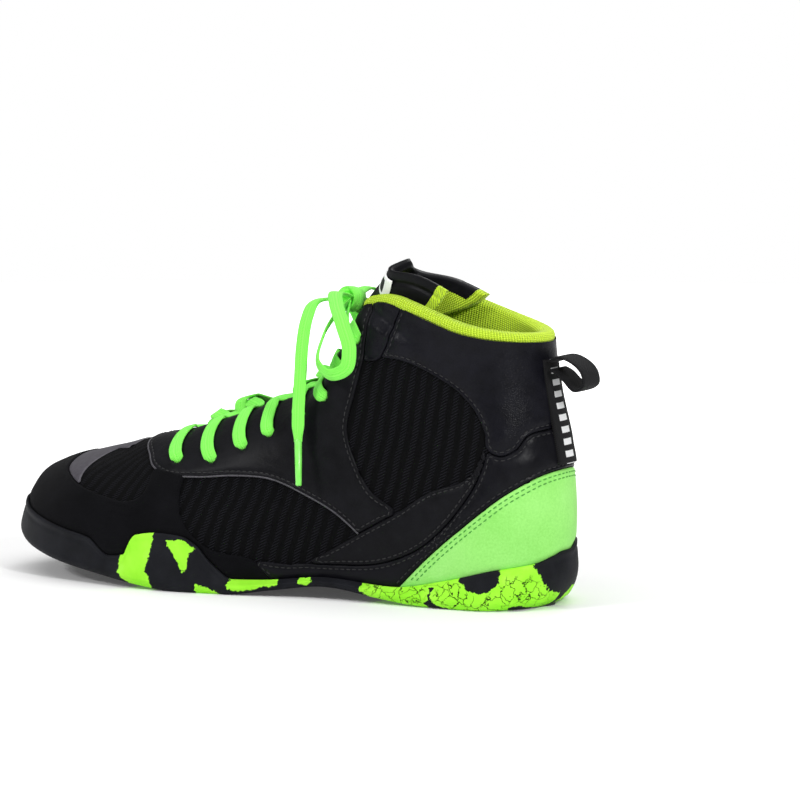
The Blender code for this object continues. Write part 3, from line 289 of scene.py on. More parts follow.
def even_slopes(knots, values):
    """At each knot the mean of its two chords' slopes, each weighed by the other's
    length."""
    step = np.diff(knots)
    share = step[1:] / (step[:-1] + step[1:])
    if values.ndim > 1:
        step, share = step[:, None], share[:, None]
    chord = np.diff(values, axis=0) / step
    slopes = np.empty_like(values)
    slopes[1:-1] = share * chord[:-1] + (1 - share) * chord[1:]
    slopes[0] = 1.5 * chord[0] - 0.5 * slopes[1]
    slopes[-1] = 1.5 * chord[-1] - 0.5 * slopes[-2]
    return slopes


def smooth(at, knots, values):
    """A cubic through values at the knots, with even slopes."""
    knots, values = np.asarray(knots, float), np.asarray(values, float)
    return cubic(at, knots, values, even_slopes(knots, values))


def steady(at, knots, values):
    """A cubic that never swings past its knots: each slope is the harmonic mean of its
    two chords' slopes, and nought at peaks and dips."""
    knots, values = np.asarray(knots, float), np.asarray(values, float)
    chord = np.diff(values) / np.diff(knots)
    slopes = np.zeros_like(values)
    same = chord[:-1] * chord[1:] > 0
    slopes[1:-1][same] = 2 * (chord[:-1] * chord[1:])[same] / (chord[:-1] + chord[1:])[same]
    return cubic(at, knots, values, slopes)


def run_along(points):
    """How far each point of a path lies from its first one, along the path."""
    return np.concatenate([[0], np.cumsum(np.linalg.norm(np.diff(points, axis=0), axis=1))])


def rounded(share):
    """A quarter round: rises steeply from nought and levels out at one."""
    return np.sqrt(np.clip(1 - (1 - np.clip(share, 0, 1)) ** 2, 0, 1))


def through(points, steps):
    """A smooth path through points, its steps shared out evenly by length."""
    points = np.asarray(points, float)
    length = run_along(points)
    return smooth(np.linspace(0, length[-1], steps + 1), length, points)


def spaced(path, step):
    """Points along a path, one each step."""
    length = run_along(path)
    at = np.linspace(0, length[-1], max(2, int(round(length[-1] / step)) + 1))
    return np.stack([np.interp(at, length, path[:, k]) for k in range(path.shape[1])], 1)


# The upper's skin

def rise_through(q, knots, values, end_slope):
    """One cubic up the five levels for each q: values holds a column of knot values for
    each, and end_slope says how much of its last slope each keeps."""
    slopes = even_slopes(knots, values)
    slopes[-1] = slopes[-1] * end_slope
    cell = np.clip(np.searchsorted(knots, q, side="right") - 1, 0, len(knots) - 2)
    pick = np.arange(len(q))
    width = np.diff(knots)[cell]
    t = (q - knots[cell]) / width
    here, ahead = (cell, pick), (cell + 1, pick)
    return cubic_piece(t, width, values[here], slopes[here], values[ahead], slopes[ahead])


def rounding(along, run):
    """The share of its width that a level keeps near its round heel, a quarter circle,
    and its toe, a quarter of a squarer oval."""
    from_front = np.clip((1 - along) * run / TOE_ROUND, 0.0, 1.0)
    toe = np.maximum(1 - (1 - from_front) ** TOE_SQUARENESS, 0.0) ** (1 / TOE_SQUARENESS)
    return rounded(along * run / HEEL_ROUND) * toe


def section(name, along):
    return smooth(
        along, column(SECTIONS, SECTION_COLUMNS, "along"), column(SECTIONS, SECTION_COLUMNS, name)
    )


def level(name):
    return column(LEVELS, LEVEL_COLUMNS, name)


def sole(name):
    return column(SOLE, SOLE_COLUMNS, name)


def underside(x):
    """Height of the sole's underside."""
    return COLLAR_HEIGHT * steady(x / SHOE_LENGTH, sole("along"), sole("bottom"))


def footbed(x):
    """Height of the floor of the sole's cup."""
    thick = steady(x / SHOE_LENGTH, sole("along"), sole("footbed"))
    return underside(x) + COLLAR_HEIGHT * thick


def girth_table():
    """How far along its run a level has come, and the share of the way round by then."""
    along = 0.5 - 0.5 * np.cos(np.linspace(0, math.pi, 1201))
    run = (level("front")[1] - level("back")[1]) * SHOE_LENGTH
    y = section("belly", along) * BALL_WIDTH * rounding(along, run)
    length = np.concatenate([[0], np.cumsum(np.hypot(np.diff(along) * run, np.diff(y)))])
    return along, length / length[-1], length[-1]


ALONG_TABLE, T_TABLE, HALF_GIRTH = girth_table()


def along_of(t):
    """The share of a level's run at t, so that t goes evenly round the foot."""
    return np.interp(np.abs(t), T_TABLE, ALONG_TABLE)


def all_round(steps):
    """Even places t from minus one to one, so many steps to each side of nought."""
    half = np.linspace(0, 1, steps + 1)
    return np.concatenate([-half[::-1], half[1:]])


def t_of(along):
    """The t at which a level has gone a share of its run."""
    return np.interp(along, ALONG_TABLE, T_TABLE)


def skin(t, q):
    """Points of the upper's outer skin. Each level is a half width along its run, with a
    round heel and toe, and a cubic rises through the five levels at each place."""
    t, q = np.broadcast_arrays(np.asarray(t, float), np.asarray(q, float))
    shape = t.shape
    t, q = (t.ravel() + 1) % 2 - 1, q.ravel()
    side = np.where(t < 0, -1.0, 1.0)
    along = along_of(t)
    back, front = level("back") * SHOE_LENGTH, level("front") * SHOE_LENGTH
    height = level("height")[:, None]
    x = back[:, None] + (front - back)[:, None] * along
    half = np.array([section(name, along) for name in ("foot", "belly", "side", "shoulder", "top")])
    half[4] = np.where(along < THROAT_BASE, np.maximum(half[4], 0.0), 0.0)
    half *= np.array([rounding(along, run) for run in front - back])
    swing, lean = section("swing", along), section("lean", along)
    y = (swing + (lean - swing) * height + side * half) * BALL_WIDTH
    low = footbed(x[0]) + GAP
    z = low + (section("rise", along) * COLLAR_HEIGHT - low) * height
    open_top = 1 - np.clip((along - 0.40) / (THROAT_BASE - 0.40), 0.0, 1.0)
    ones = np.ones(len(q))
    points = [
        rise_through(q, level("skin"), x, ones),
        rise_through(q, level("skin"), y, ones),
        rise_through(q, level("skin"), z, open_top),
    ]
    return np.stack(points, 1).reshape(shape + (3,))


def unit(vectors):
    return vectors / (np.linalg.norm(vectors, axis=-1, keepdims=True) + 1e-12)


def outward(t, q):
    """Unit normals of the skin, from its slopes round the foot and upwards."""
    t, q = np.broadcast_arrays(np.asarray(t, float), np.asarray(q, float))
    high, low = np.minimum(q + 0.01, 1.0), np.maximum(q - 0.01, 0.0)
    beside = np.minimum(q, 0.985)
    round_foot = skin(t + 0.003, beside) - skin(t - 0.003, beside)
    return unit(np.cross(skin(t, high) - skin(t, low), round_foot))


# Main creases: middle and reach in side view, in shares of SHOE_LENGTH and COLLAR_HEIGHT,
# the turn of the crease in degrees, its depth in metres (below nought is a ridge), and
# the side that has it (0 for both)
CREASES = (
    (0.150, 0.900, 0.030, 0.140, 12, 0.0007, 0),
    (0.060, 0.840, 0.018, 0.120, -8, 0.0005, 0),
    (0.225, 1.010, 0.016, 0.070, 30, 0.0006, 0),
    (0.285, 1.075, 0.040, 0.014, 30, 0.0010, 1),
    (0.292, 1.030, 0.040, 0.014, 22, -0.0007, 1),
    (0.300, 0.930, 0.050, 0.014, 15, 0.0006, 0),
    (0.350, 0.560, 0.020, 0.120, -24, 0.0006, 0),
    (0.395, 0.600, 0.016, 0.100, -30, -0.0005, 0),
    (0.440, 0.530, 0.014, 0.080, -25, 0.0005, 0),
    (0.560, 0.380, 0.060, 0.030, -12, 0.0007, 0),
    (0.520, 0.270, 0.070, 0.028, -10, -0.0006, 0),
    (0.455, 0.250, 0.050, 0.026, -18, 0.0006, 0),
    (0.660, 0.300, 0.020, 0.080, 18, 0.0006, 0),
    (0.755, 0.440, 0.018, 0.090, -60, 0.0006, 0),
    (0.250, 0.620, 0.018, 0.170, 6, 0.0007, 0),
    (0.190, 0.560, 0.020, 0.120, -20, -0.0005, 0),
    (0.130, 0.300, 0.060, 0.030, 30, 0.0004, 0),
    (0.060, 0.600, 0.030, 0.020, 0, 0.0005, 0),
)


def creased(points, t):
    """How far the skin sinks at its main creases: each is a bell, long one way and
    narrow the other, turned in side view."""
    x, z = points[..., 0], points[..., 2]
    sink = np.zeros(x.shape)
    for along, height, long, wide, turn, depth, where in CREASES:
        dx = x - along * SHOE_LENGTH
        dz = z - height * COLLAR_HEIGHT
        c, s = math.cos(math.radians(turn)), math.sin(math.radians(turn))
        a = (dx * c + dz * s) / (long * SHOE_LENGTH)
        b = (dz * c - dx * s) / (wide * COLLAR_HEIGHT)
        bell = np.exp(-0.5 * (a**2 + b**2)) * depth
        sink += bell if where == 0 else bell * (np.sign(t) == where)
    return -sink


def dressed(t, q, lift):
    """The skin with its creases, lifted along its normals."""
    base, out = skin(t, q), outward(t, q)
    rise = creased(base, t) * np.clip((1 - q) / 0.04, 0, 1) * np.clip(q / 0.15, 0, 1)
    return base + out * (lift + rise)[..., None]


def rim_height(t):
    """Height of the sole's rim."""
    along = along_of(t)
    knots = column(RIM, RIM_COLUMNS, "along")
    lateral = steady(along, knots, column(RIM, RIM_COLUMNS, "lateral"))
    medial = steady(along, knots, column(RIM, RIM_COLUMNS, "medial"))
    rim = np.where(t < 0, medial, lateral) * COLLAR_HEIGHT
    return np.maximum(rim, footbed(along * SHOE_LENGTH) + SOLE_LIP)


def skin_share_at(t, height):
    """The q at which the skin reaches a height, for each t."""
    q = np.linspace(0, 0.6, 121)
    z = skin(t[:, None], q[None, :])[:, :, 2]
    return np.array([np.interp(h, row, q) for h, row in zip(height, z)])


def on_skin(side, xz):
    """t and q of the skin's points that have these x and z in side view: the nearest
    point of a coarse grid, then Newton's steps. Points off the skin come back as gaps."""
    t_grid = np.linspace(0.0, 1.0, 121)
    q_grid = np.linspace(0.02, 1.0, 50)
    grid = skin(t_grid[:, None], q_grid[None, :])[:, :, (0, 2)].reshape(-1, 2)
    near = np.argmin(((xz[:, None] - grid[None]) ** 2).sum(2), axis=1)
    t, q = t_grid[near // 50], q_grid[near % 50]
    for _ in range(8):
        here = skin(t, q)[:, (0, 2)]
        by_t = (skin(t + 1e-4, q)[:, (0, 2)] - skin(t - 1e-4, q)[:, (0, 2)]) / 2e-4
        by_q = (here - skin(t, q - 1e-4)[:, (0, 2)]) / 1e-4
        miss = xz - here
        area = by_t[:, 0] * by_q[:, 1] - by_t[:, 1] * by_q[:, 0]
        area = np.where(np.abs(area) < 1e-8, 1e-8, area)
        step_t = (miss[:, 0] * by_q[:, 1] - miss[:, 1] * by_q[:, 0]) / area
        step_q = (by_t[:, 0] * miss[:, 1] - by_t[:, 1] * miss[:, 0]) / area
        t = np.clip(t + np.clip(step_t, -0.02, 0.02), 0.0, 1.0)
        q = np.clip(q + np.clip(step_q, -0.03, 0.03), 0.0, 1.0)
    miss = np.linalg.norm(skin(t, q)[:, (0, 2)] - xz, axis=1)
    return side * t, q, miss < 0.0004


# Meshes

def new_piece(mesh, materials, replaces=()):
    """A finished object from a mesh, on the shoe's one body, under the mesh's own name.
    Its materials are given by their names, with a blank between."""
    piece = bpy.data.objects.new(mesh.name, mesh)
    bpy.context.collection.objects.link(piece)
    for one in materials.split():
        mesh.materials.append(MATERIALS[one])
    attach(piece, "root")
    if replaces:
        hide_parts(*replaces)
    return piece


def weld_mesh(mesh, reach=2e-5):
    """Joins a mesh's doubled points and drops its closed-up faces."""
    bm = bmesh.new()
    bm.from_mesh(mesh)
    bmesh.ops.remove_doubles(bm, verts=bm.verts, dist=reach)
    bmesh.ops.dissolve_degenerate(bm, edges=bm.edges, dist=1e-6)
    bm.to_mesh(mesh)
    bm.free()


def build_mesh(name, points, faces, uv=None, values=None, weld=2e-5):
    """A smooth mesh from arrays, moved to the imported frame, its doubled points welded.
    uv is given per point, and so are the named values."""
    mesh = bpy.data.meshes.new(name)
    mesh.from_pydata((points + SHIFT).tolist(), [], faces.tolist())
    if uv is not None:
        layer = mesh.uv_layers.new(name="flat")
        corner = np.empty(len(mesh.loops), np.int32)
        mesh.loops.foreach_get("vertex_index", corner)
        layer.data.foreach_set("uv", uv[corner].astype(np.float32).ravel())
    for key, value in (values or {}).items():
        mesh.attributes.new(key, "FLOAT", "POINT").data.foreach_set("value", value.astype(np.float32))
    if weld:
        weld_mesh(mesh, weld)
    mesh.shade_smooth()
    return mesh


def grid_faces(rows, columns, closed=False):
    """Four-sided faces of a grid numbered along its columns; closed joins its last row
    to its first."""
    count = rows if closed else rows - 1
    i, j = np.meshgrid(np.arange(count), np.arange(columns - 1), indexing="ij")
    a = i * columns + j
    b = ((i + 1) % rows) * columns + j
    return np.stack([a, a + 1, b + 1, b], 2).reshape(-1, 4)


def ring_faces(rings, sides, copies):
    """Four-sided faces between closed rings of points, for many copies of the rings."""
    i, j = np.meshgrid(np.arange(rings - 1) * sides, np.arange(sides), indexing="ij")
    k = (j + 1) % sides
    one = np.stack([i + j, i + k, i + sides + k, i + sides + j], 2).reshape(-1, 4)
    return (one[None] + (np.arange(copies) * rings * sides)[:, None, None]).reshape(-1, 4)


def grid_mesh(name, grid, uv=None, turned=False, **more):
    """A mesh from a grid of points, its uv given on the same grid. turned has its faces
    look the other way."""
    flat = None if uv is None else uv.reshape(-1, 2)
    faces = grid_faces(*grid.shape[:2])
    return build_mesh(name, grid.reshape(-1, 3), faces[:, ::-1] if turned else faces, uv=flat, **more)


def rolled(rows, turn):
    """Each row of three turned round by its own number of places."""
    return rows[np.arange(len(rows))[:, None], (np.arange(3) + turn[:, None]) % 3]


def split(points, faces, which, at):
    """Cuts triangles along the line where one of their points' values passes a level.
    Each crossed edge gets a point by linear share, and the pieces stay triangles."""
    value = points[:, which] - at
    value = np.where(np.abs(value) < 3e-5, 0.0, value)
    count = len(points)
    ends = np.sort(np.stack([faces, np.roll(faces, -1, axis=1)], 2).reshape(-1, 2), axis=1)
    crossing = value[ends[:, 0]] * value[ends[:, 1]] < 0
    key = ends[:, 0].astype(np.int64) * count + ends[:, 1]
    unique, place = np.unique(key[crossing], return_inverse=True)
    a, b = unique // count, unique % count
    share = (value[a] / (value[a] - value[b]))[:, None]
    added = points[a] + (points[b] - points[a]) * share
    middle = np.full(len(ends), -1)
    middle[crossing] = count + place
    middle = middle.reshape(-1, 3)
    cuts = (middle >= 0).sum(1)
    made = [faces[cuts == 0]]
    once = cuts == 1
    turn = np.argmax(middle[once] >= 0, axis=1)
    f, m = rolled(faces[once], turn), rolled(middle[once], turn)
    made += [np.stack([f[:, 0], m[:, 0], f[:, 2]], 1), np.stack([m[:, 0], f[:, 1], f[:, 2]], 1)]
    twice = cuts == 2
    turn = (np.argmax(middle[twice] < 0, axis=1) + 1) % 3
    f, m = rolled(faces[twice], turn), rolled(middle[twice], turn)
    made += [
        np.stack([m[:, 0], f[:, 1], m[:, 1]], 1),
        np.stack([f[:, 0], m[:, 0], m[:, 1]], 1),
        np.stack([f[:, 0], m[:, 1], f[:, 2]], 1),
    ]
    return np.concatenate([points, added]), np.concatenate(made)


def used_only(points, faces):
    """The points that some face uses, and the faces renumbered for them."""
    used, faces = np.unique(faces, return_inverse=True)
    return points[used], faces.reshape(-1, 3)


def outline_of(name):
    """An overlay's outline in side view, in metres: each of its seams a smooth curve."""
    runs = []
    for seam in OUTLINES[name]:
        seam = np.array(seam) * (SHOE_LENGTH, COLLAR_HEIGHT)
        runs.append(through(seam, 10 * (len(seam) - 1)) if len(seam) > 2 else seam)
    return np.concatenate(runs)


def inside_distance(outline, xz):
    """Distance to a closed outline in side view, above nought inside it."""
    a, b = outline, np.roll(outline, -1, axis=0)
    keep = np.linalg.norm(b - a, axis=1) > 1e-9
    a, b = a[keep], b[keep]
    edge = b - a
    square = (edge**2).sum(1)
    nearest = np.empty(len(xz))
    inside = np.zeros(len(xz), bool)
    for start in range(0, len(xz), 8000):
        p = xz[start:start + 8000]
        to = p[:, None] - a[None]
        share = np.clip((to * edge).sum(2) / square, 0, 1)
        gap = to - share[..., None] * edge
        nearest[start:start + 8000] = np.sqrt((gap**2).sum(2)).min(1)
        above = (a[None, :, 1] > p[:, None, 1]) != (b[None, :, 1] > p[:, None, 1])
        rise = np.where(edge[:, 1] == 0, 1e-12, edge[:, 1])
        cross = a[None, :, 0] + (p[:, None, 1] - a[None, :, 1]) / rise * edge[:, 0]
        inside[start:start + 8000] = (above & (p[:, None, 0] < cross)).sum(1) % 2 == 1
    return np.where(inside, nearest, -nearest)


class Cloth:
    """The upper's lattice, which all its layers are cut from: t and q of its points,
    where they lie and their flat place in metres for the weave."""


def make_lattice():
    """The lattice over the whole upper, from just under the sole's rim to the top edge."""
    lattice = Cloth()
    t = all_round(HALF_STEPS)
    low = skin_share_at(t, rim_height(t) - 0.0025)
    lattice.shape = (len(t), RISES + 1)
    share = np.linspace(0, 1, RISES + 1)
    lattice.q = np.clip(low[:, None] + (1 - low[:, None]) * share[None, :], 0, 1)
    lattice.t = np.broadcast_to(t[:, None], lattice.q.shape).copy()
    lattice.place = skin(lattice.t, lattice.q)
    up = np.linalg.norm(np.diff(lattice.place, axis=1), axis=2)
    lattice.v = lattice.place[:, :1, 2] + np.concatenate(
        [np.zeros((len(t), 1)), np.cumsum(up, axis=1)], axis=1
    )
    lattice.u = lattice.t * HALF_GIRTH
    rim = rim_height(t)[:, None]
    lattice.above_rim = lattice.place[..., 2] - rim
    quads = grid_faces(*lattice.shape)
    lattice.faces = np.concatenate([quads[:, (0, 1, 2)], quads[:, (0, 2, 3)]])
    return lattice


def surface_distance(lattice, flat_distance):
    """A side-view distance brought to the surface: it is divided by how fast it grows
    along the surface, from the lattice's own slopes."""
    shape = lattice.shape
    d = flat_distance.reshape(shape)
    by_t, by_q = np.gradient(lattice.place, axis=0), np.gradient(lattice.place, axis=1)
    d_t, d_q = np.gradient(d, axis=0), np.gradient(d, axis=1)
    e, f, g = (by_t**2).sum(2), (by_t * by_q).sum(2), (by_q**2).sum(2)
    rise = np.maximum(g * d_t**2 - 2 * f * d_t * d_q + e * d_q**2, 0)
    slope = np.sqrt(rise / np.maximum(e * g - f**2, 1e-18))
    return d / np.clip(slope, 0.25, 1.0)


def eyelet_centres(side):
    """Where one side's eyelets lie: points, t and q."""
    t, q, _ = on_skin(side, np.array(EYELETS) * (SHOE_LENGTH, COLLAR_HEIGHT))
    q = np.minimum(q, 0.985)
    return skin(t, q), t, q


def eyelet_distance(points):
    """Distance outside the nearest eyelet's hole."""
    centres = np.concatenate([eyelet_centres(side)[0] for side in (1, -1)])
    gap = np.full(points.shape[:-1], 1.0)
    for centre in centres:
        gap = np.minimum(gap, np.linalg.norm(points - centre, axis=-1))
    return gap - EYELET_DIAMETER / 2


def soft_step(value, start, end):
    """Nought up to start and one from end, with a smooth rise between."""
    share = np.clip((value - start) / (end - start), 0, 1)
    return share * share * (3 - 2 * share)


def bell(value, middle, width):
    return np.exp(-0.5 * ((value - middle) / width) ** 2)


T, Q, U, V, EDGE, HOLE, RIM_GAP = range(7)


def cut_layer(lattice, flat_distance, levels, holes, inset=0.00015):
    """The part of the lattice inside an outline, cut along the given distances from its
    edge so that an edge's rounding and a seam's groove have points to stand on."""
    edge = surface_distance(lattice, flat_distance - inset).ravel()
    hole = eyelet_distance(lattice.place).ravel() if holes else np.full(edge.shape, 1.0)
    points = np.stack([
        lattice.t.ravel(), lattice.q.ravel(), lattice.u.ravel(), lattice.v.ravel(),
        edge, hole, lattice.above_rim.ravel(),
    ], 1)
    faces = lattice.faces
    reach = edge[faces].max(1) > 0
    points, faces = used_only(points, faces[reach])
    for at in levels:
        points, faces = split(points, faces, EDGE, at)
    faces = faces[(points[faces, EDGE].min(1) > -1e-6)]
    if holes:
        for at in (0.0, 0.0004):
            points, faces = split(points, faces, HOLE, at)
        faces = faces[(points[faces, HOLE].min(1) > -1e-6)]
    return used_only(points, faces)


def layer_lift(points, thick, puff, groove, second=0.0):
    """How far a layer stands off the skin: a quarter-round edge, a swelling that grows
    away from the edge, and a groove along each stitch line. It sinks into the sole."""
    d = points[:, EDGE]
    edge = rounded(d / 0.0009)
    lift = 0.0002 + thick * edge + puff * (1 - np.exp(-np.maximum(d - 0.0015, 0) / 0.006))
    lift -= groove * bell(d, STITCH_INSET, 0.00045)
    lift -= second * bell(d, STITCH_INSET + STITCH_ROWS_APART, 0.00045)
    hole = points[:, HOLE]
    lift -= 0.0005 * (1 - soft_step(hole, 0.0, 0.0008))
    sunk = soft_step(points[:, RIM_GAP], -0.0004, 0.0030)
    return lift * sunk + 0.0003 * (1 - sunk)


STITCH_INSET = 0.0017
STITCH_ROWS_APART = 0.0019
STITCH_LENGTH = 0.0021
STITCH_PITCH = 0.0029
STITCH_THREAD = 0.00030


def outline_distance(lattice, outline, side):
    """Side-view distance of the lattice's points inside an outline, only on one side of
    the shoe where side is given."""
    xz = lattice.place[..., (0, 2)].reshape(-1, 2)
    flat = inside_distance(outline_of(outline), xz)
    if side:
        flat = np.where(np.sign(lattice.t.ravel()) == side, flat, -0.01)
    return flat


def overlay(lattice, name, outline, material, thick=OVERLAY, puff=0.0, groove=0.0, second=0.0,
            holes=False, side=0, replaces=()):
    """One overlay of the upper, laid over the skin inside its outline."""
    flat = outline_distance(lattice, outline, side)
    levels = [0.0, 0.00022, 0.0009]
    if groove:
        levels += [STITCH_INSET - 0.0004, STITCH_INSET, STITCH_INSET + 0.0004]
    if second:
        levels += [STITCH_INSET + STITCH_ROWS_APART + k for k in (-0.0004, 0.0, 0.0004)]
    points, faces = cut_layer(lattice, flat, levels, holes)
    lift = layer_lift(points, thick, puff, groove, second)
    place = dressed(points[:, T], points[:, Q], lift)
    mesh = build_mesh(name, place, faces[:, ::-1], uv=points[:, (U, V)])
    return new_piece(mesh, material, replaces)


# The upper's pieces

def make_base(lattice):
    """The knit wall of the boot with its eyelet holes, and its dark inner face."""
    flat = np.full(lattice.t.size, 0.05)
    points, faces = cut_layer(lattice, flat, (), True)
    place = dressed(points[:, T], points[:, Q], np.zeros(len(points)))
    mesh = build_mesh("upper_knit", place, faces[:, ::-1], uv=points[:, (U, V)])
    new_piece(mesh, "knit", ("upper",))
    inner = dressed(points[:, T], points[:, Q], np.full(len(points), -UPPER_WALL))
    mesh = build_mesh("upper_lining", inner, faces, uv=points[:, (U, V)])
    new_piece(mesh, "dark_lining")


# How far up the skin the low lining reaches, and its rows of points
FOOT_LINING_TOP, FOOT_LINING_ROWS = 0.30, 14


def make_foot_lining():
    """The dark lining low down inside, from the insole's edge up behind the sole's rim:
    the skin moved in by the wall, facing the foot."""
    t = np.linspace(-1, 1, 401)
    rises = np.linspace(0, FOOT_LINING_TOP, FOOT_LINING_ROWS)
    grid = np.stack([skin(t, q) - outward(t, q) * (UPPER_WALL + GAP) for q in rises], 1)
    faces = grid_faces(*grid.shape[:2])
    a, b, _, d = (grid.reshape(-1, 3)[faces[:, i]] for i in range(4))
    facing = np.einsum("ij,ij->i", np.cross(b - a, d - a), a - grid.mean(axis=(0, 1)))
    uv = np.stack(np.meshgrid(t * SHOE_LENGTH, np.linspace(0, 0.03, FOOT_LINING_ROWS), indexing="ij"), 2)
    mesh = grid_mesh("foot_lining", grid, uv, facing.sum() > 0, weld=0)
    new_piece(mesh, "dark_lining")


def throat_run():
    """t along both throat edges, from one cuff end round the throat's foot to the other."""
    return t_of(np.linspace(CUFF_END - 0.02, THROAT_BASE - 0.002, 170))


def make_throat_edge():
    """The turned edge of the throat: a half round carried along the top edge, from the
    overlay's face over to the inner wall."""
    angle = np.linspace(0, math.pi, 11)
    outside, inside = 0.0002 + OVERLAY, -UPPER_WALL
    radius, middle = (outside - inside) / 2, (outside + inside) / 2
    sides = []
    for side in (-1, 1):
        t = side * throat_run()
        edge = skin(t, 1.0)
        up = unit(edge - skin(t, 0.98))
        out = outward(t, 0.985)
        a = middle + radius * np.cos(angle)
        b = 0.55 * radius * np.sin(angle) - 0.0002
        sides.append(edge[:, None] + out[:, None] * a[None, :, None] + up[:, None] * b[None, :, None])
    for name, grid, faces_in in (
        ("throat_edge_lateral", sides[1], False), ("throat_edge_medial", sides[0], True),
    ):
        run, over = np.linspace(0, 0.18, grid.shape[0]), np.linspace(0, 0.005, grid.shape[1])
        uv = np.stack(np.meshgrid(run, over, indexing="ij"), 2)
        mesh = grid_mesh(name, grid, uv, faces_in, weld=0)
        outward_faces(mesh, grid[:, 5].mean(0) + SHIFT - (0, 0, 0.01))
        new_piece(mesh, "stay_leather")


def outward_faces(mesh, centre=None):
    """Turns a mesh's faces so that they point outwards."""
    bm = bmesh.new()
    bm.from_mesh(mesh)
    bmesh.ops.recalc_face_normals(bm, faces=bm.faces)
    if centre is not None:
        centre = Vector(centre)
        total = sum((f.calc_center_median() - centre).dot(f.normal) * f.calc_area() for f in bm.faces)
        if total < 0:
            bmesh.ops.reverse_faces(bm, faces=bm.faces)
    bm.to_mesh(mesh)
    bm.free()
    mesh.shade_smooth()


def chains(faces, on_line):
    """Runs of points joined by the mesh's edges whose two ends both lie on a line."""
    ends = np.sort(np.stack([faces, np.roll(faces, -1, axis=1)], 2).reshape(-1, 2), axis=1)
    ends = np.unique(ends[on_line[ends].all(1)], axis=0)
    beside = {}
    for a, b in ends.tolist():
        beside.setdefault(a, []).append(b)
        beside.setdefault(b, []).append(a)
    left, runs = set(beside), []
    starts = [p for p in beside if len(beside[p]) == 1] + list(beside)
    for start in starts:
        if start not in left:
            continue
        run, here = [start], start
        left.discard(start)
        while True:
            ahead = [p for p in beside[here] if p in left]
            if not ahead:
                break
            here = ahead[0]
            left.discard(here)
            run.append(here)
        if len(run) > 4:
            runs.append(run)
    return runs


def stitch_mesh(centres, ahead, out, length=STITCH_LENGTH, thread=STITCH_THREAD):
    """Many stitches as one mesh: each is a six-sided thread along its seam, thickest at
    its middle, its two ends drawn down into the leather."""
    along = np.array([-0.5, -0.36, 0.0, 0.36, 0.5]) * length
    thick = np.array([0.35, 0.85, 1.0, 0.85, 0.35]) * thread
    sink = np.array([-0.9, -0.15, 0.15, -0.15, -0.9]) * thread
    turn = np.arange(6) * math.pi / 3
    across = unit(np.cross(out, ahead))
    round_thread = thick[None, :, None, None]
    ring = (
        centres[:, None, None] + ahead[:, None, None] * along[None, :, None, None]
        + out[:, None, None] * (sink[None, :, None, None] + round_thread * np.sin(turn)[:, None])
        + across[:, None, None] * (round_thread * np.cos(turn)[:, None])
    )
    return ring.reshape(-1, 3), ring_faces(len(along), len(turn), len(centres))


def stitch_rows(lattice, name, outline, lift, insets, material, side=0):
    """Rows of stitches along an overlay's edge, in its groove."""
    flat = outline_distance(lattice, outline, side)
    all_points, all_faces, count = [], [], 0
    for inset in insets:
        points, faces = cut_layer(lattice, flat, (inset,), False)
        on_line = np.abs(points[:, EDGE] - inset) < 4e-5
        for run in chains(faces, on_line):
            path = points[run][:, (T, Q)]
            place = dressed(path[:, 0], path[:, 1], np.full(len(path), lift))
            line = spaced(place, STITCH_PITCH)
            if len(line) < 4:
                continue
            ahead = unit(np.gradient(line, axis=0))
            length = run_along(place)
            at = np.linspace(0, length[-1], len(line))
            t, q = np.interp(at, length, path[:, 0]), np.interp(at, length, path[:, 1])
            out = outward(t, q)
            keep = skin(t, q)[:, 2] > rim_height(t) + 0.0022
            keep &= q < 0.99
            if keep.sum() < 2:
                continue
            p, f = stitch_mesh(line[keep], ahead[keep], out[keep])
            all_points.append(p)
            all_faces.append(f + count)
            count += len(p)
    mesh = build_mesh(name, np.concatenate(all_points), np.concatenate(all_faces), weld=0)
    outward_faces(mesh)
    return new_piece(mesh, material)


def tube(path, radius, sides=10):
    """A round cord along a path: rings square to it, carried without twist."""
    ahead = unit(np.gradient(path, axis=0))
    facing = carried(path, np.array([0.0, 0.0, 1.0]))
    across = unit(np.cross(facing, ahead))
    turn = np.arange(sides + 1) * 2 * math.pi / sides
    radius = np.broadcast_to(radius, (len(path),))
    return path[:, None] + radius[:, None, None] * (
        facing[:, None] * np.sin(turn)[None, :, None] + across[:, None] * np.cos(turn)[None, :, None]
    )


def carried(path, facing):
    """The direction that a band faces along its path, turned no more than it must be."""
    ahead = unit(np.gradient(path, axis=0))
    out = []
    facing = np.array(facing, float)
    for direction in ahead:
        facing = facing - direction * facing.dot(direction)
        facing = facing / np.linalg.norm(facing)
        out.append(facing)
    return np.array(out)


def capped(name, ring, uv=None):
    """A closed mesh from rings of points, its two ends drawn together."""
    first = np.repeat(ring[:1].mean(1, keepdims=True), ring.shape[1], axis=1)
    last = np.repeat(ring[-1:].mean(1, keepdims=True), ring.shape[1], axis=1)
    ring = np.concatenate([first, ring, last])
    if uv is not None:
        uv = np.concatenate([uv[:1], uv, uv[-1:]])
    mesh = grid_mesh(name, ring, uv)
    outward_faces(mesh)
    return mesh


def make_piping():
    """The grey piping along the eyestay's lower edge, from the diagonal seam round the
    throat's foot to the other side."""
    seam = through(np.array(STAY_EDGE[1:]) * (SHOE_LENGTH, COLLAR_HEIGHT), 160)
    for side, where in ((1, "lateral"), (-1, "medial")):
        t, q, found = on_skin(side, seam)
        t, q = t[found], q[found]
        path = dressed(t, q, np.full(len(t), 0.0006))
        path = spaced(path, 0.0012)
        mesh = capped(f"stay_piping_{where}", tube(path, 0.00048))
        new_piece(mesh, "piping")


PINHOLE_BACK, PINHOLE_HEIGHT = 0.694, 0.365
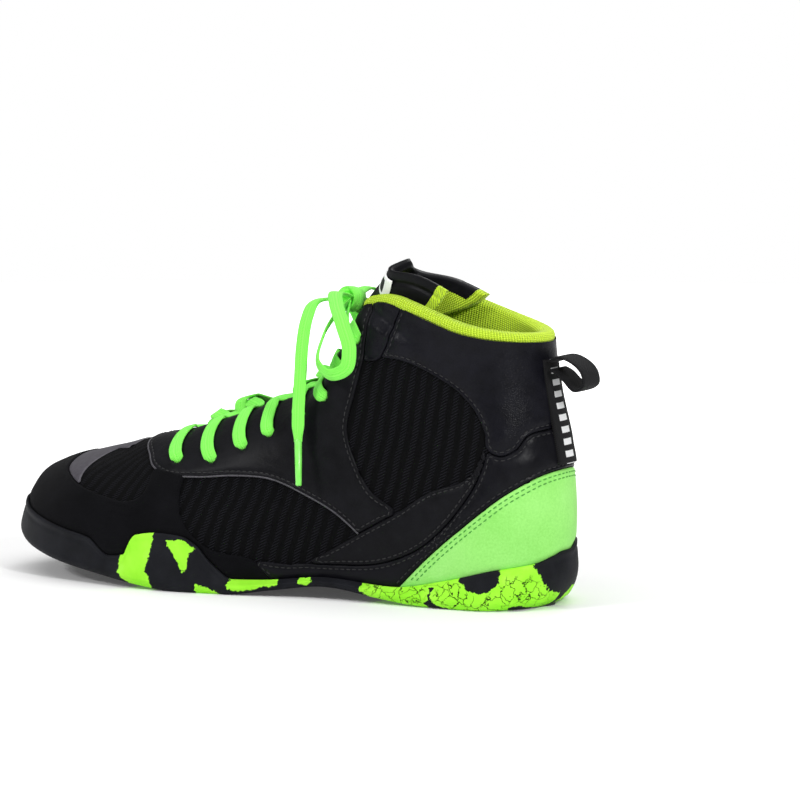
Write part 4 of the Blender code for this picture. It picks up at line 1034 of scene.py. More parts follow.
# A pinhole's rim from its outside in, as (radius, height)
PINHOLE_PROFILE = (
    (0.00052, -0.0001), (0.00050, 0.00012), (0.00034, 0.00010), (0.00020, -0.0001), (0.00001, -0.0002),
)


def make_pinholes():
    """Two rows of punched breathing holes in the toe guard, below the vamp's edge: small
    dark dimples set into the suede."""
    centres, outs = [], []
    for side in (1, -1):
        for drop, count in ((0.060, 8), (0.088, 6)):
            x = PINHOLE_BACK + np.linspace(0, 0.050, 8)[(8 - count) // 2:][:count]
            z = PINHOLE_HEIGHT + 0.22 * (x - PINHOLE_BACK) - drop
            t, q, _ = on_skin(side, np.stack([x * SHOE_LENGTH, z * COLLAR_HEIGHT], 1))
            outs.append(outward(t, q))
            centres.append(dressed(t, q, np.full(len(t), 0.00118)))
    centres, outs = np.concatenate(centres), np.concatenate(outs)
    side_way = unit(np.cross(outs, np.array([0.0, 0.0, 1.0])))
    up = np.cross(side_way, outs)
    turn = np.arange(8) * math.pi / 4
    rings = []
    for radius, height in PINHOLE_PROFILE:
        rings.append(centres[:, None] + outs[:, None] * height + radius * (
            side_way[:, None] * np.cos(turn)[None, :, None] + up[:, None] * np.sin(turn)[None, :, None]))
    points = np.stack(rings, 1)
    faces = ring_faces(len(PINHOLE_PROFILE), len(turn), len(centres))
    mesh = build_mesh("pinholes", points.reshape(-1, 3), faces, weld=0)
    outward_faces(mesh)
    new_piece(mesh, "suede")


def make_cuff():
    """The ribbed knit cuff: a rounded rim that stands on the collar's edge and the lining
    below it, its ribs a row of half waves running up and over."""
    end = float(t_of(CUFF_END))
    columns = 1150
    t = np.linspace(-end, end, columns)
    edge = skin(t, 1.0)
    up = unit(edge - skin(t, 0.98))
    out = outward(t, 1.0)
    length = np.linalg.norm(edge - skin(t, 0.5), axis=1) / 0.5
    near, far = UPPER_WALL + 3 * GAP, UPPER_WALL + 3 * GAP + CUFF_WALL
    face = GAP + 1.4 * OVERLAY
    width = far + face
    rows = []
    for share in (1.0, 0.8, 0.6, 0.4, 0.2, 0.08):
        q = 1 - share * CUFF_DEPTH / length
        rows.append(skin(t, q) - outward(t, q) * far)
    rows.append(edge - out * far + up * (CUFF_RISE * 0.40))
    for angle in np.linspace(0.12, 0.88, 7) * math.pi:
        sideways = -far + width * 0.5 * (1 - math.cos(angle))
        rows.append(edge + out * sideways + up * CUFF_RISE * (0.42 + 0.58 * math.sin(angle)))
    rows.append(edge + out * face + up * (CUFF_RISE * 0.35))
    rows.append(edge + out * (face * 0.8) + up * 0.0)
    rows.append(edge + out * (0.4 * face) - up * 0.0006)
    rows.append(edge - out * near + up * GAP)
    for share in (0.3, 1.0):
        q = 1 - share * CUFF_DEPTH / length
        rows.append(skin(t, q) - outward(t, q) * near)
    grid = np.stack(rows, 1)
    girth = run_along(edge)
    rib = np.abs(np.sin(math.pi * girth / RIB_PITCH)) - 0.6
    normal = unit(np.cross(np.gradient(grid, axis=1), np.gradient(grid, axis=0)))
    inner = (np.arange(grid.shape[1]) < 17)[None, :, None]
    grid = grid + normal * rib[:, None, None] * RIB_HEIGHT * inner
    from_end = np.minimum(girth, girth[-1] - girth)
    squeeze = rounded(from_end / 0.0016)
    middle = grid[:, 7:16].mean(1, keepdims=True)
    grid = middle + (grid - middle) * squeeze[:, None, None]
    grid = np.concatenate([grid, grid[:, :1]], 1)
    run = run_along(grid[columns // 2])
    uv = np.stack(np.broadcast_arrays(girth[:, None], run[None, :]), 2)
    mesh = grid_mesh("collar_cuff", grid, uv)
    outward_faces(mesh)
    piece = new_piece(mesh, "rib_knit", ("collar_lining",))


# How far the tongue's front lies back at its top
CREST_BACK = 0.0035
RIB_PITCH = 0.00125
RIB_HEIGHT = 0.00028


def tongue_surface(rows, across):
    """Outer face of the tongue: rows run from its foot to its top, and across runs from
    the inner wing's end (-1) over the crest (0) to the outer wing's end (1). Each row is
    a smooth curve through the wing's end, its middle, the edge and the crest."""
    at = np.linspace(0, 1, len(TONGUE))
    get = {n: smooth(rows, at, column(TONGUE, TONGUE_COLUMNS, n)) for n in TONGUE_COLUMNS}
    under = UPPER_WALL + 2 * GAP + (CUFF_WALL + GAP) * np.maximum(get["inside"], 0)
    edge_q, wing_q = np.clip(get["edge_skin"], 0, 1), np.clip(get["wing_skin"], 0, 1)
    up = np.array([0.0, 0.0, 1.0])
    lines = []
    for side in (-1, 1):
        t_edge, t_wing = side * t_of(get["edge"]), side * t_of(get["wing"])
        edge = skin(t_edge, edge_q) - outward(t_edge, edge_q) * under[:, None]
        edge += up * (np.maximum(get["edge_lift"], 0) * COLLAR_HEIGHT)[:, None]
        wing = skin(t_wing, wing_q) - outward(t_wing, wing_q) * under[:, None]
        wing += up * (np.maximum(get["wing_lift"], 0) * COLLAR_HEIGHT)[:, None]
        t_mid, q_mid = 0.5 * (t_edge + t_wing), 0.5 * (edge_q + wing_q)
        half_way = skin(t_mid, q_mid) - outward(t_mid, q_mid) * under[:, None]
        lift = 0.5 * np.maximum(get["edge_lift"] + get["wing_lift"], 0)
        half_way += up * (lift * COLLAR_HEIGHT)[:, None]
        lines.append((wing, half_way, edge))
    crest_y = 0.5 * (lines[0][2][:, 1] + lines[1][2][:, 1])
    crest = np.stack([get["x"] * SHOE_LENGTH, crest_y, get["z"] * TONGUE_HEIGHT], 1)
    crest[:, 0] -= CREST_BACK * soft_step(rows, 0.55, 1.0)
    values = np.stack([*lines[0], crest, *reversed(lines[1])])
    knots = np.array([-1.0, -0.8, -0.6, 0.0, 0.6, 0.8, 1.0])
    flat = smooth(across, knots, values.reshape(len(knots), -1))
    return flat.reshape(len(across), len(rows), 3).transpose(1, 0, 2)


def tongue_normals(points):
    """Unit normals of a stretch of the tongue's outer face."""
    normal = unit(np.cross(np.gradient(points, axis=1), np.gradient(points, axis=0)))
    return normal if normal[:, :, 0].sum() + normal[:, :, 2].sum() > 0 else -normal


# Where the tongue's knit starts: by its wings' ends and below its top inside
LIME_FROM = 0.93
LINING_TOP = 0.935
# How far the outer wing stands up at its end
WING_RISE = 0.0045


def make_tongue():
    """The padded tongue: leather outside, knit lining inside, a rolled rim. Both faces
    leave one shared border and part by a round profile."""
    rows = np.concatenate([np.linspace(0, 0.93, 90, endpoint=False), np.linspace(0.93, 1, 26)])
    left, right = np.linspace(-1, -0.94, 12, endpoint=False), np.linspace(0.94, 1, 13)[1:]
    across = np.concatenate([left, np.linspace(-0.94, 0.94, 108), right])
    face = tongue_surface(rows, across)
    outer_wing, upper = soft_step(across, 0.15, 0.95), soft_step(rows, 0.86, 1.0)
    face[..., 2] += WING_RISE * outer_wing[None, :] * upper[:, None] ** 1.5
    normal = tongue_normals(face)
    down = np.linalg.norm(np.diff(face, axis=0), axis=2)
    down = np.concatenate([np.zeros((1, len(across))), np.cumsum(down, axis=0)])
    wide = np.linalg.norm(np.diff(face, axis=1), axis=2)
    wide = np.concatenate([np.zeros((len(rows), 1)), np.cumsum(wide, axis=1)], axis=1)
    from_top = down[-1:] - down
    border = np.minimum(from_top, np.minimum(wide, wide[:, -1:] - wide))
    rounding_share = rounded(border / 0.0022)
    soft = 0.0006 * soft_step(border, 0.004, 0.016) * soft_step(rows[:, None], 0.5, 0.8)
    seam = bell(from_top, 0.0052, 0.0006) * 0.0006
    ripple = 0.0002 * np.sin(wide / 0.0125 + 1.2) * soft_step(rows[:, None], 0.62, 0.8)
    outer = face + normal * (soft - seam + ripple * rounding_share)[..., None]
    inner = face - normal * (TONGUE_WALL * rounding_share)[..., None]
    outer[-1], inner[-1] = face[-1], face[-1]
    grid = np.concatenate([outer, inner[::-1][1:]])
    uv = np.stack([wide, down], 2)
    uv = np.concatenate([uv, uv[::-1][1:]])
    lime_out = np.broadcast_to(np.abs(across)[None, :] >= LIME_FROM, border.shape)
    lime_in = np.broadcast_to(rows[:, None] <= LINING_TOP, border.shape)
    lime = np.concatenate([lime_out & (rows[:, None] > 0.7), (lime_in | lime_out)[::-1][1:]])
    mesh = grid_mesh("tongue_pad", grid, uv, weld=0)
    on_lime = lime.ravel()[grid_faces(*lime.shape)].all(1)
    mesh.polygons.foreach_set("material_index", on_lime.astype(np.int32))
    weld_mesh(mesh)
    outward_faces(mesh)
    piece = new_piece(mesh, "stay_leather rib_knit", ("tongue",))


LABEL_ROWS = (0.900, 0.985)
LABEL_FROM, LABEL_TO = -0.45, 0.60
LABEL_THICKNESS = 0.0006


def make_label():
    """A plain woven patch near the tongue's top, with a turned-in border."""
    rows, across = np.linspace(*LABEL_ROWS, 24), np.linspace(LABEL_FROM, LABEL_TO, 40)
    face = tongue_surface(rows, across)
    normal = tongue_normals(face)
    i = np.minimum(np.arange(24), 23 - np.arange(24)) / 2.0
    j = np.minimum(np.arange(40), 39 - np.arange(40)) / 2.0
    border = np.clip(np.minimum(i[:, None], j[None, :]), 0, 1)
    lift = 0.00055 + LABEL_THICKNESS * rounded(border)
    place = face + normal * lift[..., None]
    uv = np.stack(np.broadcast_arrays(np.linspace(-1, 1, 40)[None, :], np.linspace(-1, 1, 24)[:, None]), 2)
    mesh = grid_mesh("tongue_patch", place, uv, weld=0)
    outward_faces(mesh, (SHIFT + (0.05, 0, 0.1)))
    new_piece(mesh, "patch", ("tongue_label",))


def make_insole():
    """The insole: a plate on the footbed whose rim turns up a little against the wall."""
    t = np.linspace(0, 1, 120)
    foot = {side: skin(side * t, 0.0)[:, :2] for side in (-1, 1)}
    edges = []
    for side in (-1, 1):
        out = outward(side * t, 0.0)[:, :2]
        edges.append(foot[side] - unit(out) * (UPPER_WALL + 5 * GAP))
    share = np.linspace(-1, 1, 41)
    x = 0.5 * (edges[0][:, 0] + edges[1][:, 0])
    y = edges[0][:, 1:2] * (1 - share) / 2 + edges[1][:, 1:2] * (1 + share) / 2
    rise = 0.0012 * np.abs(share) ** 6
    z = (footbed(x) + 2 * GAP + INSOLE_THICKNESS)[:, None] + rise[None, :]
    top = np.stack(np.broadcast_arrays(x[:, None], y, z), 2)
    low = top.copy()
    low[..., 2] = (footbed(x) + 2 * GAP)[:, None]
    grid = np.concatenate([top, low[:, ::-1], top[:, :1]], 1)
    uv = np.stack([grid[..., 0], grid[..., 1]], 2)
    mesh = grid_mesh("foot_pad", grid, uv)
    outward_faces(mesh)
    piece = new_piece(mesh, "dark_lining", ("insole",))


TAB_FOOT = 0.550
TAB_TOP = 0.925
PULL_LOOP = (
    (0.00, -0.02), (0.25, 0.10), (0.62, 0.02), (1.00, -0.34), (1.02, -0.62),
    (0.78, -0.76), (0.45, -0.50), (0.24, -0.32), (0.06, -0.24),
)


def back_seam_q(z):
    """q of the places on the back seam that lie z above the floor."""
    rise = np.linspace(0, 1, 301)
    return np.interp(z, skin(0.0, rise)[:, 2], rise)


def make_heel_strap():
    """The webbing up the back seam: a flat band over the leather with round edges."""
    z = np.linspace(TAB_FOOT - 0.012, TAB_TOP, 80) * COLLAR_HEIGHT
    q = back_seam_q(z)
    share = np.sin(np.linspace(-math.pi / 2, math.pi / 2, 33))
    width = TAB_WIDTH / 2
    t = share * width / HALF_GIRTH
    tt, qq = np.meshgrid(t, q, indexing="ij")
    lift = 0.0014 + 0.0016 * rounded((1 - np.abs(share)) * width / 0.0008)
    place = dressed(tt, qq, np.broadcast_to(lift[:, None], tt.shape))
    uv = np.stack(np.broadcast_arrays((share * width)[:, None], z[None, :]), 2)
    mesh = grid_mesh("back_webbing", place, uv, weld=0)
    outward_faces(mesh, SHIFT + (0.03, 0, 0.09))
    new_piece(mesh, "webbing_bars", ("heel_strap",))


def band(path, facing, width, thickness, sides=18, flatness=3.2):
    """A flat cord along a path: each ring is a squarish oval, wide across the way that
    it faces and thin along it."""
    ahead = unit(np.gradient(path, axis=0))
    across = unit(np.cross(facing, ahead))
    out = np.cross(ahead, across)
    turn = np.linspace(0, 2 * math.pi, sides + 1)
    c, s = np.cos(turn), np.sin(turn)
    wide = np.sign(c) * np.abs(c) ** (2 / flatness)
    thin = np.sign(s) * np.abs(s) ** (2 / flatness)
    width = np.broadcast_to(width, (len(path),)) / 2
    thickness = np.broadcast_to(thickness, (len(path),)) / 2
    return (
        path[:, None]
        + across[:, None] * (width[:, None] * wide[None])[..., None]
        + out[:, None] * (thickness[:, None] * thin[None])[..., None]
    )


def band_uv(path, width, sides=18):
    """Along the band and across it, both in metres."""
    run = run_along(path)
    turn = np.linspace(0, 2 * math.pi, sides + 1)
    return np.stack(np.broadcast_arrays(run[:, None], (np.cos(turn) * width / 2)[None, :]), 2)


def make_pull_loop():
    """The loop of webbing folded out of the strap's top."""
    top = TAB_TOP * COLLAR_HEIGHT
    q = float(back_seam_q(top))
    back = skin(0.0, q)[0] - (3 * GAP + OVERLAY + TAB_THICKNESS * 1.5)
    side = np.array([(back - out * TAB_WIDTH, 0.0, top + up * TAB_WIDTH) for out, up in PULL_LOOP])
    path = through(side, 90)
    facing = unit(np.cross(unit(np.gradient(path, axis=0)), (0.0, 1.0, 0.0)))
    ring = band(path, facing, TAB_WIDTH, TAB_THICKNESS, sides=24, flatness=5)
    mesh = capped("pull_webbing", ring, uv=band_uv(path, TAB_WIDTH, 24))
    new_piece(mesh, "webbing", ("pull_loop",))


# Laces

LACE_LIFT = 0.0012
# Strands that show: from eyelet (side, number from the toe) to eyelet, whether the far
# end dives under the edge before it reaches its eyelet, and which crossing lies on top
STRANDS = (
    (1, 0, -1, 1, True, 0),
    (-1, 0, 1, 1, True, 1),
    (-1, 1, 1, 2, False, 0),
    (1, 1, -1, 2, False, 1),
    (1, 3, -1, 4, True, 1),
    (-1, 3, 1, 4, False, 0),
    (-1, 4, 1, 5, False, 1),
    (-1, 5, 1, 6, False, 0),
    (-1, 6, 1, 7, True, 1),
)


def nearest_row(point, line):
    """The line's point that lies nearest in side view."""
    return int(np.argmin(np.hypot(line[:, 0] - point[0], line[:, 2] - point[2])))


def throat_place(side, eyelet):
    """Where round the foot the throat's edge lies beside an eyelet, and that point."""
    t_edge = side * t_of(np.linspace(CUFF_END, THROAT_BASE, 240))
    edges = skin(t_edge, 1.0)
    at = nearest_row(eyelet, edges)
    return float(t_edge[at]), edges[at]


def to_edge(side, number):
    """A strand's run from its hole to the throat's edge: points on the leather, the way
    each one faces, and the edge's point. It leaves the hole upwards and bends over."""
    centre, t, q = (v[number] for v in eyelet_centres(side))
    t_edge, edge = throat_place(side, centre)
    lift = OVERLAY + LACE_THICKNESS / 2
    ahead = unit(edge - centre)
    points, faces = [], []
    for share, height in HOLE_TO_EDGE:
        here = t + (t_edge - t) * share, q + (0.985 - q) * share
        out = outward(*here)
        points.append(dressed(*here, lift + height))
        lean = np.clip(1 - share / 0.12, 0, 1) if height < 0.0002 else 0.0
        faces.append(unit(out - ahead * (1.6 * lean)))
    return np.array(points), np.array(faces), edge


# How high over the leather a strand's middle lies on its way from hole to edge
HOLE_TO_EDGE = (
    (0.0, -0.0050), (0.0, -0.0014), (0.05, 0.0001), (0.22, 0.0006), (0.45, 0.0004), (0.72, 0.0004),
    (1.0, 0.0007),
)
EDGE_TO_KNOT = 0.55


def strand_path(from_side, from_number, to_side, to_number, dives, on_top):
    """A strand's middle line and the way it faces: up out of one hole, over its edge and
    the tongue, then down into the other hole or in under the other edge."""
    points, faces, edge0 = to_edge(from_side, from_number)
    last, last_faces, edge1 = to_edge(to_side, to_number)
    rows = np.linspace(0.05, 1, 300)
    crest = tongue_surface(rows, np.array([0.0]))[:, 0]
    row0, row1 = rows[nearest_row(edge0, crest)], rows[nearest_row(edge1, crest)]
    points, faces = list(points), list(faces)
    for across, hump in ((0.34, 0.1), (0.12, 1.0), (-0.12, 1.0), (-0.34, 0.1)):
        share = 0.5 - across / 1.2
        row = row0 + (row1 - row0) * share
        near = from_side * across + np.array([-0.05, 0.0, 0.05])
        patch = tongue_surface(row + np.array([-0.01, 0.0, 0.01]), near)
        over = tongue_normals(patch)[1, 1]
        lift = LACE_LIFT + LACE_THICKNESS / 2 + hump * (0.0004 + 0.0016 * on_top)
        points.append(patch[1, 1] + over * lift)
        faces.append(over)
    if dives:
        t1, _ = throat_place(to_side, edge1)
        for inner, deep in ((1.0, 0.0002), (0.93, 0.0010)):
            out = outward(t1, inner)
            points.append(skin(t1, inner) - out * (UPPER_WALL + LACE_THICKNESS / 2 + deep))
            faces.append(out)
    else:
        points += list(last[::-1])
        faces += list(last_faces[::-1])
    points, faces = np.array(points), np.array(faces)
    return through(points, 120), through_with(points, faces, 120)


def tie_path(side):
    """The strand from the last eyelet over the edge and up into the knot."""
    points, faces, _ = to_edge(side, 7)
    knot = off_knot((-0.2, 0.9, -0.8), side, 0.3)
    out = faces[-1]
    slack = unit(np.array([0.6, side * 0.7, 0.2])) * 0.0012
    middle = points[-1] * (1 - EDGE_TO_KNOT) + knot * EDGE_TO_KNOT + slack
    points, faces = np.array([*points, middle, knot]), np.array([*faces, out, out])
    return through(points, 80), through_with(points, faces, 80)


def through_with(points, values, steps):
    """Values carried along the path that through() draws, at the same places."""
    length = run_along(points)
    at = np.linspace(0, length[-1], steps + 1)
    return unit(np.stack([np.interp(at, length, values[:, k]) for k in range(3)], 1))


def make_strands():
    """The strands that cross the tongue and the two that rise to the knot. Each narrows
    and thickens where it goes into a hole."""
    runs = [(strand_path(*one), one[4]) for one in STRANDS] + [(tie_path(side), True) for side in (1, -1)]
    for number, ((path, facing), one_hole) in enumerate(runs):
        run = run_along(path)
        from_hole = run if one_hole else np.minimum(run, run[-1] - run)
        full = rounded((from_hole - 0.0030) / 0.0034)
        width = LACE_WIDTH * (0.58 + 0.44 * full)
        thickness = LACE_THICKNESS * (1.6 - 0.6 * full)
        ring = band(path, facing, width, thickness)
        mesh = capped(f"lace_strand_{number}", ring, uv=band_uv(path, LACE_WIDTH))
        replaced = ("laces",) if number == 0 else ()
        new_piece(mesh, "lace", replaced)


KNOT_HEIGHT = 1.082
KNOT_ASIDE = 0.0012
KNOT_SIZE = (0.0075, 0.0062, 0.0060)
BOW_GAP = 0.00075
LOOP_LEAVES = (-0.20, 1.0, 0.40)
LOOP_RETURNS = (-0.20, 1.0, -0.40)
LOOP_ROUTE = (
    (0.382, 0.160, 1.150), (0.362, 0.262, 1.112), (0.334, 0.352, 1.045), (0.318, 0.378, 0.955),
    (0.322, 0.385, 0.890), (0.350, 0.388, 0.862), (0.374, 0.370, 0.898), (0.378, 0.300, 1.000),
    (0.380, 0.190, 1.062),
)
END_LEAVES = (0.80, 0.60, -0.10)
END_ROUTE = (
    (0.424, 0.135, 1.110), (0.421, 0.230, 1.055), (0.417, 0.295, 0.957), (0.414, 0.328, 0.850),
    (0.412, 0.360, 0.700), (0.406, 0.392, 0.602),
)


def knot_place():
    """The knot's centre, so that it rests on the tongue's crest."""
    rows = np.linspace(0.5, 1, 101)
    crest = tongue_surface(rows, np.array([-0.05, 0.05]))
    out = tongue_normals(crest).mean(axis=1)
    crest = crest.mean(axis=1)
    at = int(np.argmin(np.abs(crest[:, 2] - KNOT_HEIGHT * COLLAR_HEIGHT)))
    reach = np.linalg.norm(out[at] * KNOT_SIZE)
    return crest[at] + out[at] * (reach + GAP) + (0.0, KNOT_ASIDE, 0.0)


def off_knot(direction, side, reach=1.0):
    """The point in a direction that lies a share of the way out to the knot's skin."""
    direction = np.array(direction) * (1, side, 1)
    direction = direction / np.linalg.norm(direction)
    return knot_place() + direction * (1 / np.linalg.norm(direction / KNOT_SIZE) + BOW_GAP) * reach


def bow_points(table, side):
    shares = np.array(table) * (SHOE_LENGTH, side * BALL_WIDTH, COLLAR_HEIGHT)
    return shares + (0.0, knot_place()[1], 0.0)


def make_bow():
    """Two loops and two ends that leave the knot, hanging over both sides of the boot,
    each flat cord carried along its route without twist, and the ends' tips."""
    for side, where in ((1, "lateral"), (-1, "medial")):
        leaves, returns = off_knot(LOOP_LEAVES, side, 0.5), off_knot(LOOP_RETURNS, side, 0.5)
        path = through([leaves, *bow_points(LOOP_ROUTE, side), returns], 150)
        ring = band(path, carried(path, (0, 0, 1)), LACE_WIDTH, LACE_THICKNESS)
        mesh = capped(f"bow_loop_{where}", ring, uv=band_uv(path, LACE_WIDTH))
        loop = new_piece(mesh, "lace", (f"lace_loop_{where}",))
        leaves = off_knot(END_LEAVES, side, 0.5)
        path = through([leaves, *bow_points(END_ROUTE, side)], 130)
        run = np.linspace(0, 1, len(path))
        squeeze = soft_step(run, 0.90, 1.0)
        width = LACE_WIDTH * (1 - 0.45 * squeeze)
        thickness = LACE_THICKNESS * (1 + 1.2 * squeeze)
        ring = band(path, carried(path, (0, 0, 1)), width, thickness)
        mesh = capped(f"bow_end_{where}", ring, uv=band_uv(path, LACE_WIDTH))
        end = new_piece(mesh, "lace", (f"lace_end_{where}",))
        tip = make_aglet(where, path[-1], unit(path[-1] - path[-4]))


def make_aglet(where, end, ahead):
    """The clear sleeve pressed on a lace's end: a profile of radii turned round its
    line, with a rolled lip at both ends."""
    along = np.array([-0.0012, -0.0008, 0.0, 0.0005, 0.5, 0.97, 0.99, 1.0])
    along[4:] = along[4:] * AGLET_LENGTH
    radius = AGLET_DIAMETER / 2 * np.array([0.80, 1.0, 1.04, 1.0, 0.92, 0.82, 0.72, 0.45])
    path = end + ahead * along[:, None]
    mesh = capped(f"aglet_tip_{where}", tube(path, radius, 20))
    return new_piece(mesh, "aglet", (f"aglet_{where}",))


KNOT_WRAPS = (
    # turn of the wrap's plane about x and z in degrees, its size and its place aside
    (78, 18, 0.92, 0.0000),
    (100, -22, 0.98, 0.0012),
    (20, 35, 0.86, -0.0010),
)


def make_knot():
    """The knot: three flat wraps pulled tight round each other, each an oval band."""
    centre = knot_place()
    for number, (tilt, turn, size, aside) in enumerate(KNOT_WRAPS):
        angle = np.linspace(0, 2 * math.pi, 73)
        oval = [np.cos(angle) * KNOT_SIZE[0], np.sin(angle) * KNOT_SIZE[2], 0 * angle]
        flat = np.stack(oval, 1) * size * 0.82
        a, b = math.radians(tilt), math.radians(turn)
        about_x = np.array([[1, 0, 0], [0, math.cos(a), -math.sin(a)], [0, math.sin(a), math.cos(a)]])
        about_z = np.array([[math.cos(b), -math.sin(b), 0], [math.sin(b), math.cos(b), 0], [0, 0, 1]])
        path = flat @ about_x.T @ about_z.T + (0, aside, 0)
        facing = unit(path - path.mean(0))
        path = path + centre
        ring = band(path, facing, LACE_WIDTH * 0.86, LACE_THICKNESS * 1.5)
        mesh = grid_mesh(f"knot_wrap_{number}", ring, band_uv(path, LACE_WIDTH))
        outward_faces(mesh)
        replaced = ("lace_knot",) if number == 0 else ()
        new_piece(mesh, "lace", replaced)


# Sole

# Green patches of the sole's wall in side view, in metres as (x, z), and the black
# windows cut out of them
GREEN = (
    ((0.203, 0.0205), (0.199, 0.0245), (0.193, 0.028), (0.186, 0.027), (0.1875, 0.0185), (0.1890, 0.0135),
     (0.1905, 0.0095), (0.1875, 0.0055), (0.1875, -0.002), (0.1935, -0.002), (0.2025, 0.0045), (0.205, 0.0075),
     (0.2045, 0.0115), (0.2035, 0.016)),
    ((0.180, 0.0235), (0.172, 0.0238), (0.1655, 0.0205), (0.1685, 0.0175), (0.1695, 0.012), (0.1715, 0.0085),
     (0.173, 0.0115), (0.176, 0.017), (0.179, 0.021)),
    ((0.165, 0.0045), (0.1605, 0.0035), (0.155, 0.001), (0.155, -0.003), (0.166, -0.003), (0.1655, 0.0025)),
    ((0.1505, 0.0080), (0.1285, 0.0085), (0.1265, 0.006), (0.1295, 0.005), (0.1335, 0.0045), (0.141, 0.0025),
     (0.148, 0.0020), (0.1515, 0.0045)),
    ((0.1175, 0.0095), (0.113, 0.0100), (0.1105, 0.008), (0.1135, 0.0065), (0.117, 0.0072)),
    ((0.087, 0.0105), (0.069, 0.0105), (0.0535, 0.0115), (0.0405, 0.0145), (0.0215, 0.020), (0.0125, 0.0225),
     (0.0100, 0.0215), (0.0062, 0.013), (0.0055, 0.0085), (0.003, 0.0065), (0.0065, 0.0025), (0.009, -0.003),
     (0.053, -0.003), (0.067, -0.002), (0.080, 0.002), (0.0875, 0.0055)),
)
BLACK_IN_GREEN = (
    ((0.0395, 0.0135), (0.0390, 0.018), (0.0215, 0.022), (0.0215, 0.0125), (0.026, 0.0085),
     (0.0325, 0.008), (0.038, 0.012)),
    ((0.054, 0.009), (0.051, 0.0095), (0.0525, 0.0055), (0.050, 0.002), (0.0445, 0.0005), (0.045, -0.003),
     (0.051, -0.003), (0.0555, 0.0025), (0.053, 0.004)),
    ((0.019, 0.0015), (0.015, 0.003), (0.0125, 0.001), (0.0125, -0.003), (0.019, -0.003)),
)
# A low blotch round the back of the heel on the inner side, as (y, z)
GREEN_BACK = (
    (0.0020, -0.002), (-0.0010, 0.0050), (-0.0060, 0.0085), (-0.0130, 0.0080), (-0.0200, 0.0100),
    (-0.0260, 0.0070), (-0.0290, -0.002),
)
SOLE_COLUMNS_DRAWN = 760
# How far the heel's lower edge is rounded forward, up to which height, and how far on
HEEL_TUCK, HEEL_TUCK_HEIGHT, HEEL_TUCK_REACH = 0.0095, 0.019, 0.16


def make_sole():
    """The cupped sole: at each place round the foot a profile runs from under the foot
    over the rounded edge, up the wall to the lip and down inside. Its green patches are
    kept as a distance from their edges on each point."""
    t = all_round(SOLE_COLUMNS_DRAWN // 2)
    along, side = along_of(t), np.where(t < 0, -1.0, 1.0)
    half = smooth(along, sole("along"), sole("half")) * rounding(along, SHOE_LENGTH)
    swing = smooth(along, sole("along"), sole("swing"))
    outline = np.stack([along * SHOE_LENGTH, (swing + side * half) * BALL_WIDTH], 1)
    middle = np.stack([along * SHOE_LENGTH, swing * BALL_WIDTH], 1)
    edge = np.gradient(outline, axis=0)
    normal = -unit(np.stack([edge[:, 1], -edge[:, 0]], 1))
    normal[0] = normal[-1] = (1.0, 0.0)
    rim = rim_height(t)
    low = underside(outline[:, 0])
    corner = np.minimum(SOLE_EDGE, WALL_SWELL * (rim - low))
    lines = [np.column_stack([middle + (outline - middle) * TREAD_INNER, low])]
    for inset, height in SOLE_CORNER:
        flat = outline - normal * (inset * corner)[:, None]
        lines.append(np.column_stack([flat, low + height * corner]))
    top_q = skin_share_at(t, rim)
    wall, wall_out = skin(t, top_q), outward(t, top_q)
    lip = wall + wall_out * (GAP + SOLE_LIP)
    lines.append(lines[-1] + (lip - lines[-1]) * WALL_SWELL)
    lines.append(lip)
    rounded_lip = wall + wall_out * (1.1 * GAP + 0.6 * SOLE_LIP)
    rounded_lip[:, 2] += 0.0004
    tucked = wall + wall_out * 0.00032
    tucked[:, 2] -= 0.0002
    deep_q = np.maximum(top_q - 0.05, 0)
    deep = skin(t, deep_q) + outward(t, deep_q) * 0.0003
    coarse = np.stack(lines, 1)
    at = np.array([0, 0.35, 0.7, 1, *np.linspace(1, 4, 13)[1:], *np.linspace(4, 6, 15)[1:]])
    fine = smooth_rows(coarse, at)
    over_lip = np.stack([coarse[:, -1], rounded_lip, tucked, deep], 1)
    lip_rows = smooth_rows(over_lip, np.array([0.4, 0.8, 1.2, 1.6, 2.0, 3.0]))
    points = np.concatenate([fine, lip_rows], 1)
    points = points + wall_relief(points, t)
    tuck = HEEL_TUCK * np.clip(1 - points[..., 2] / HEEL_TUCK_HEIGHT, 0, 1) ** 2.2
    behind = np.clip(1 - along / HEEL_TUCK_REACH, 0, 1)[:, None] ** 1.5
    points[..., 0] += tuck * behind
    points[..., 2] = np.maximum(points[..., 2], 0.0)
    rows = len(points)
    paint = painted(points)
    mid = np.column_stack([middle, low])[:, None]
    mid[..., 0] += HEEL_TUCK * behind
    grid = np.concatenate([mid, points], 1)
    paint = np.concatenate([np.full((rows, 1), -0.01), paint], 1)
    mesh = grid_mesh("sole_cup", grid, values={"green": paint.ravel()})
    outward_faces(mesh)
    new_piece(mesh, "rubber", ("outsole",))


def smooth_rows(rows, at):
    """Each row of points resampled along a smooth curve through them."""
    count = rows.shape[1]
    flat = rows.transpose(1, 0, 2).reshape(count, -1)
    out = smooth(at, np.arange(count, dtype=float), flat)
    return out.reshape(len(at), rows.shape[0], 3).transpose(1, 0, 2)


def wall_relief(points, t):
    """Low relief of the wall: the rim stands a little proud as a bead, with a shallow
    step under it."""
    height = points[..., 2]
    rim = rim_height(t)[:, None]
    below = rim - height
    out = points - points.mean(axis=(0, 1))
    out = out * (1, 1, 0)
    out = unit(out)
    step = -0.00035 * bell(below, 0.0026, 0.0007) + 0.00015 * bell(below, 0.0008, 0.0008)
    return out * step[..., None]


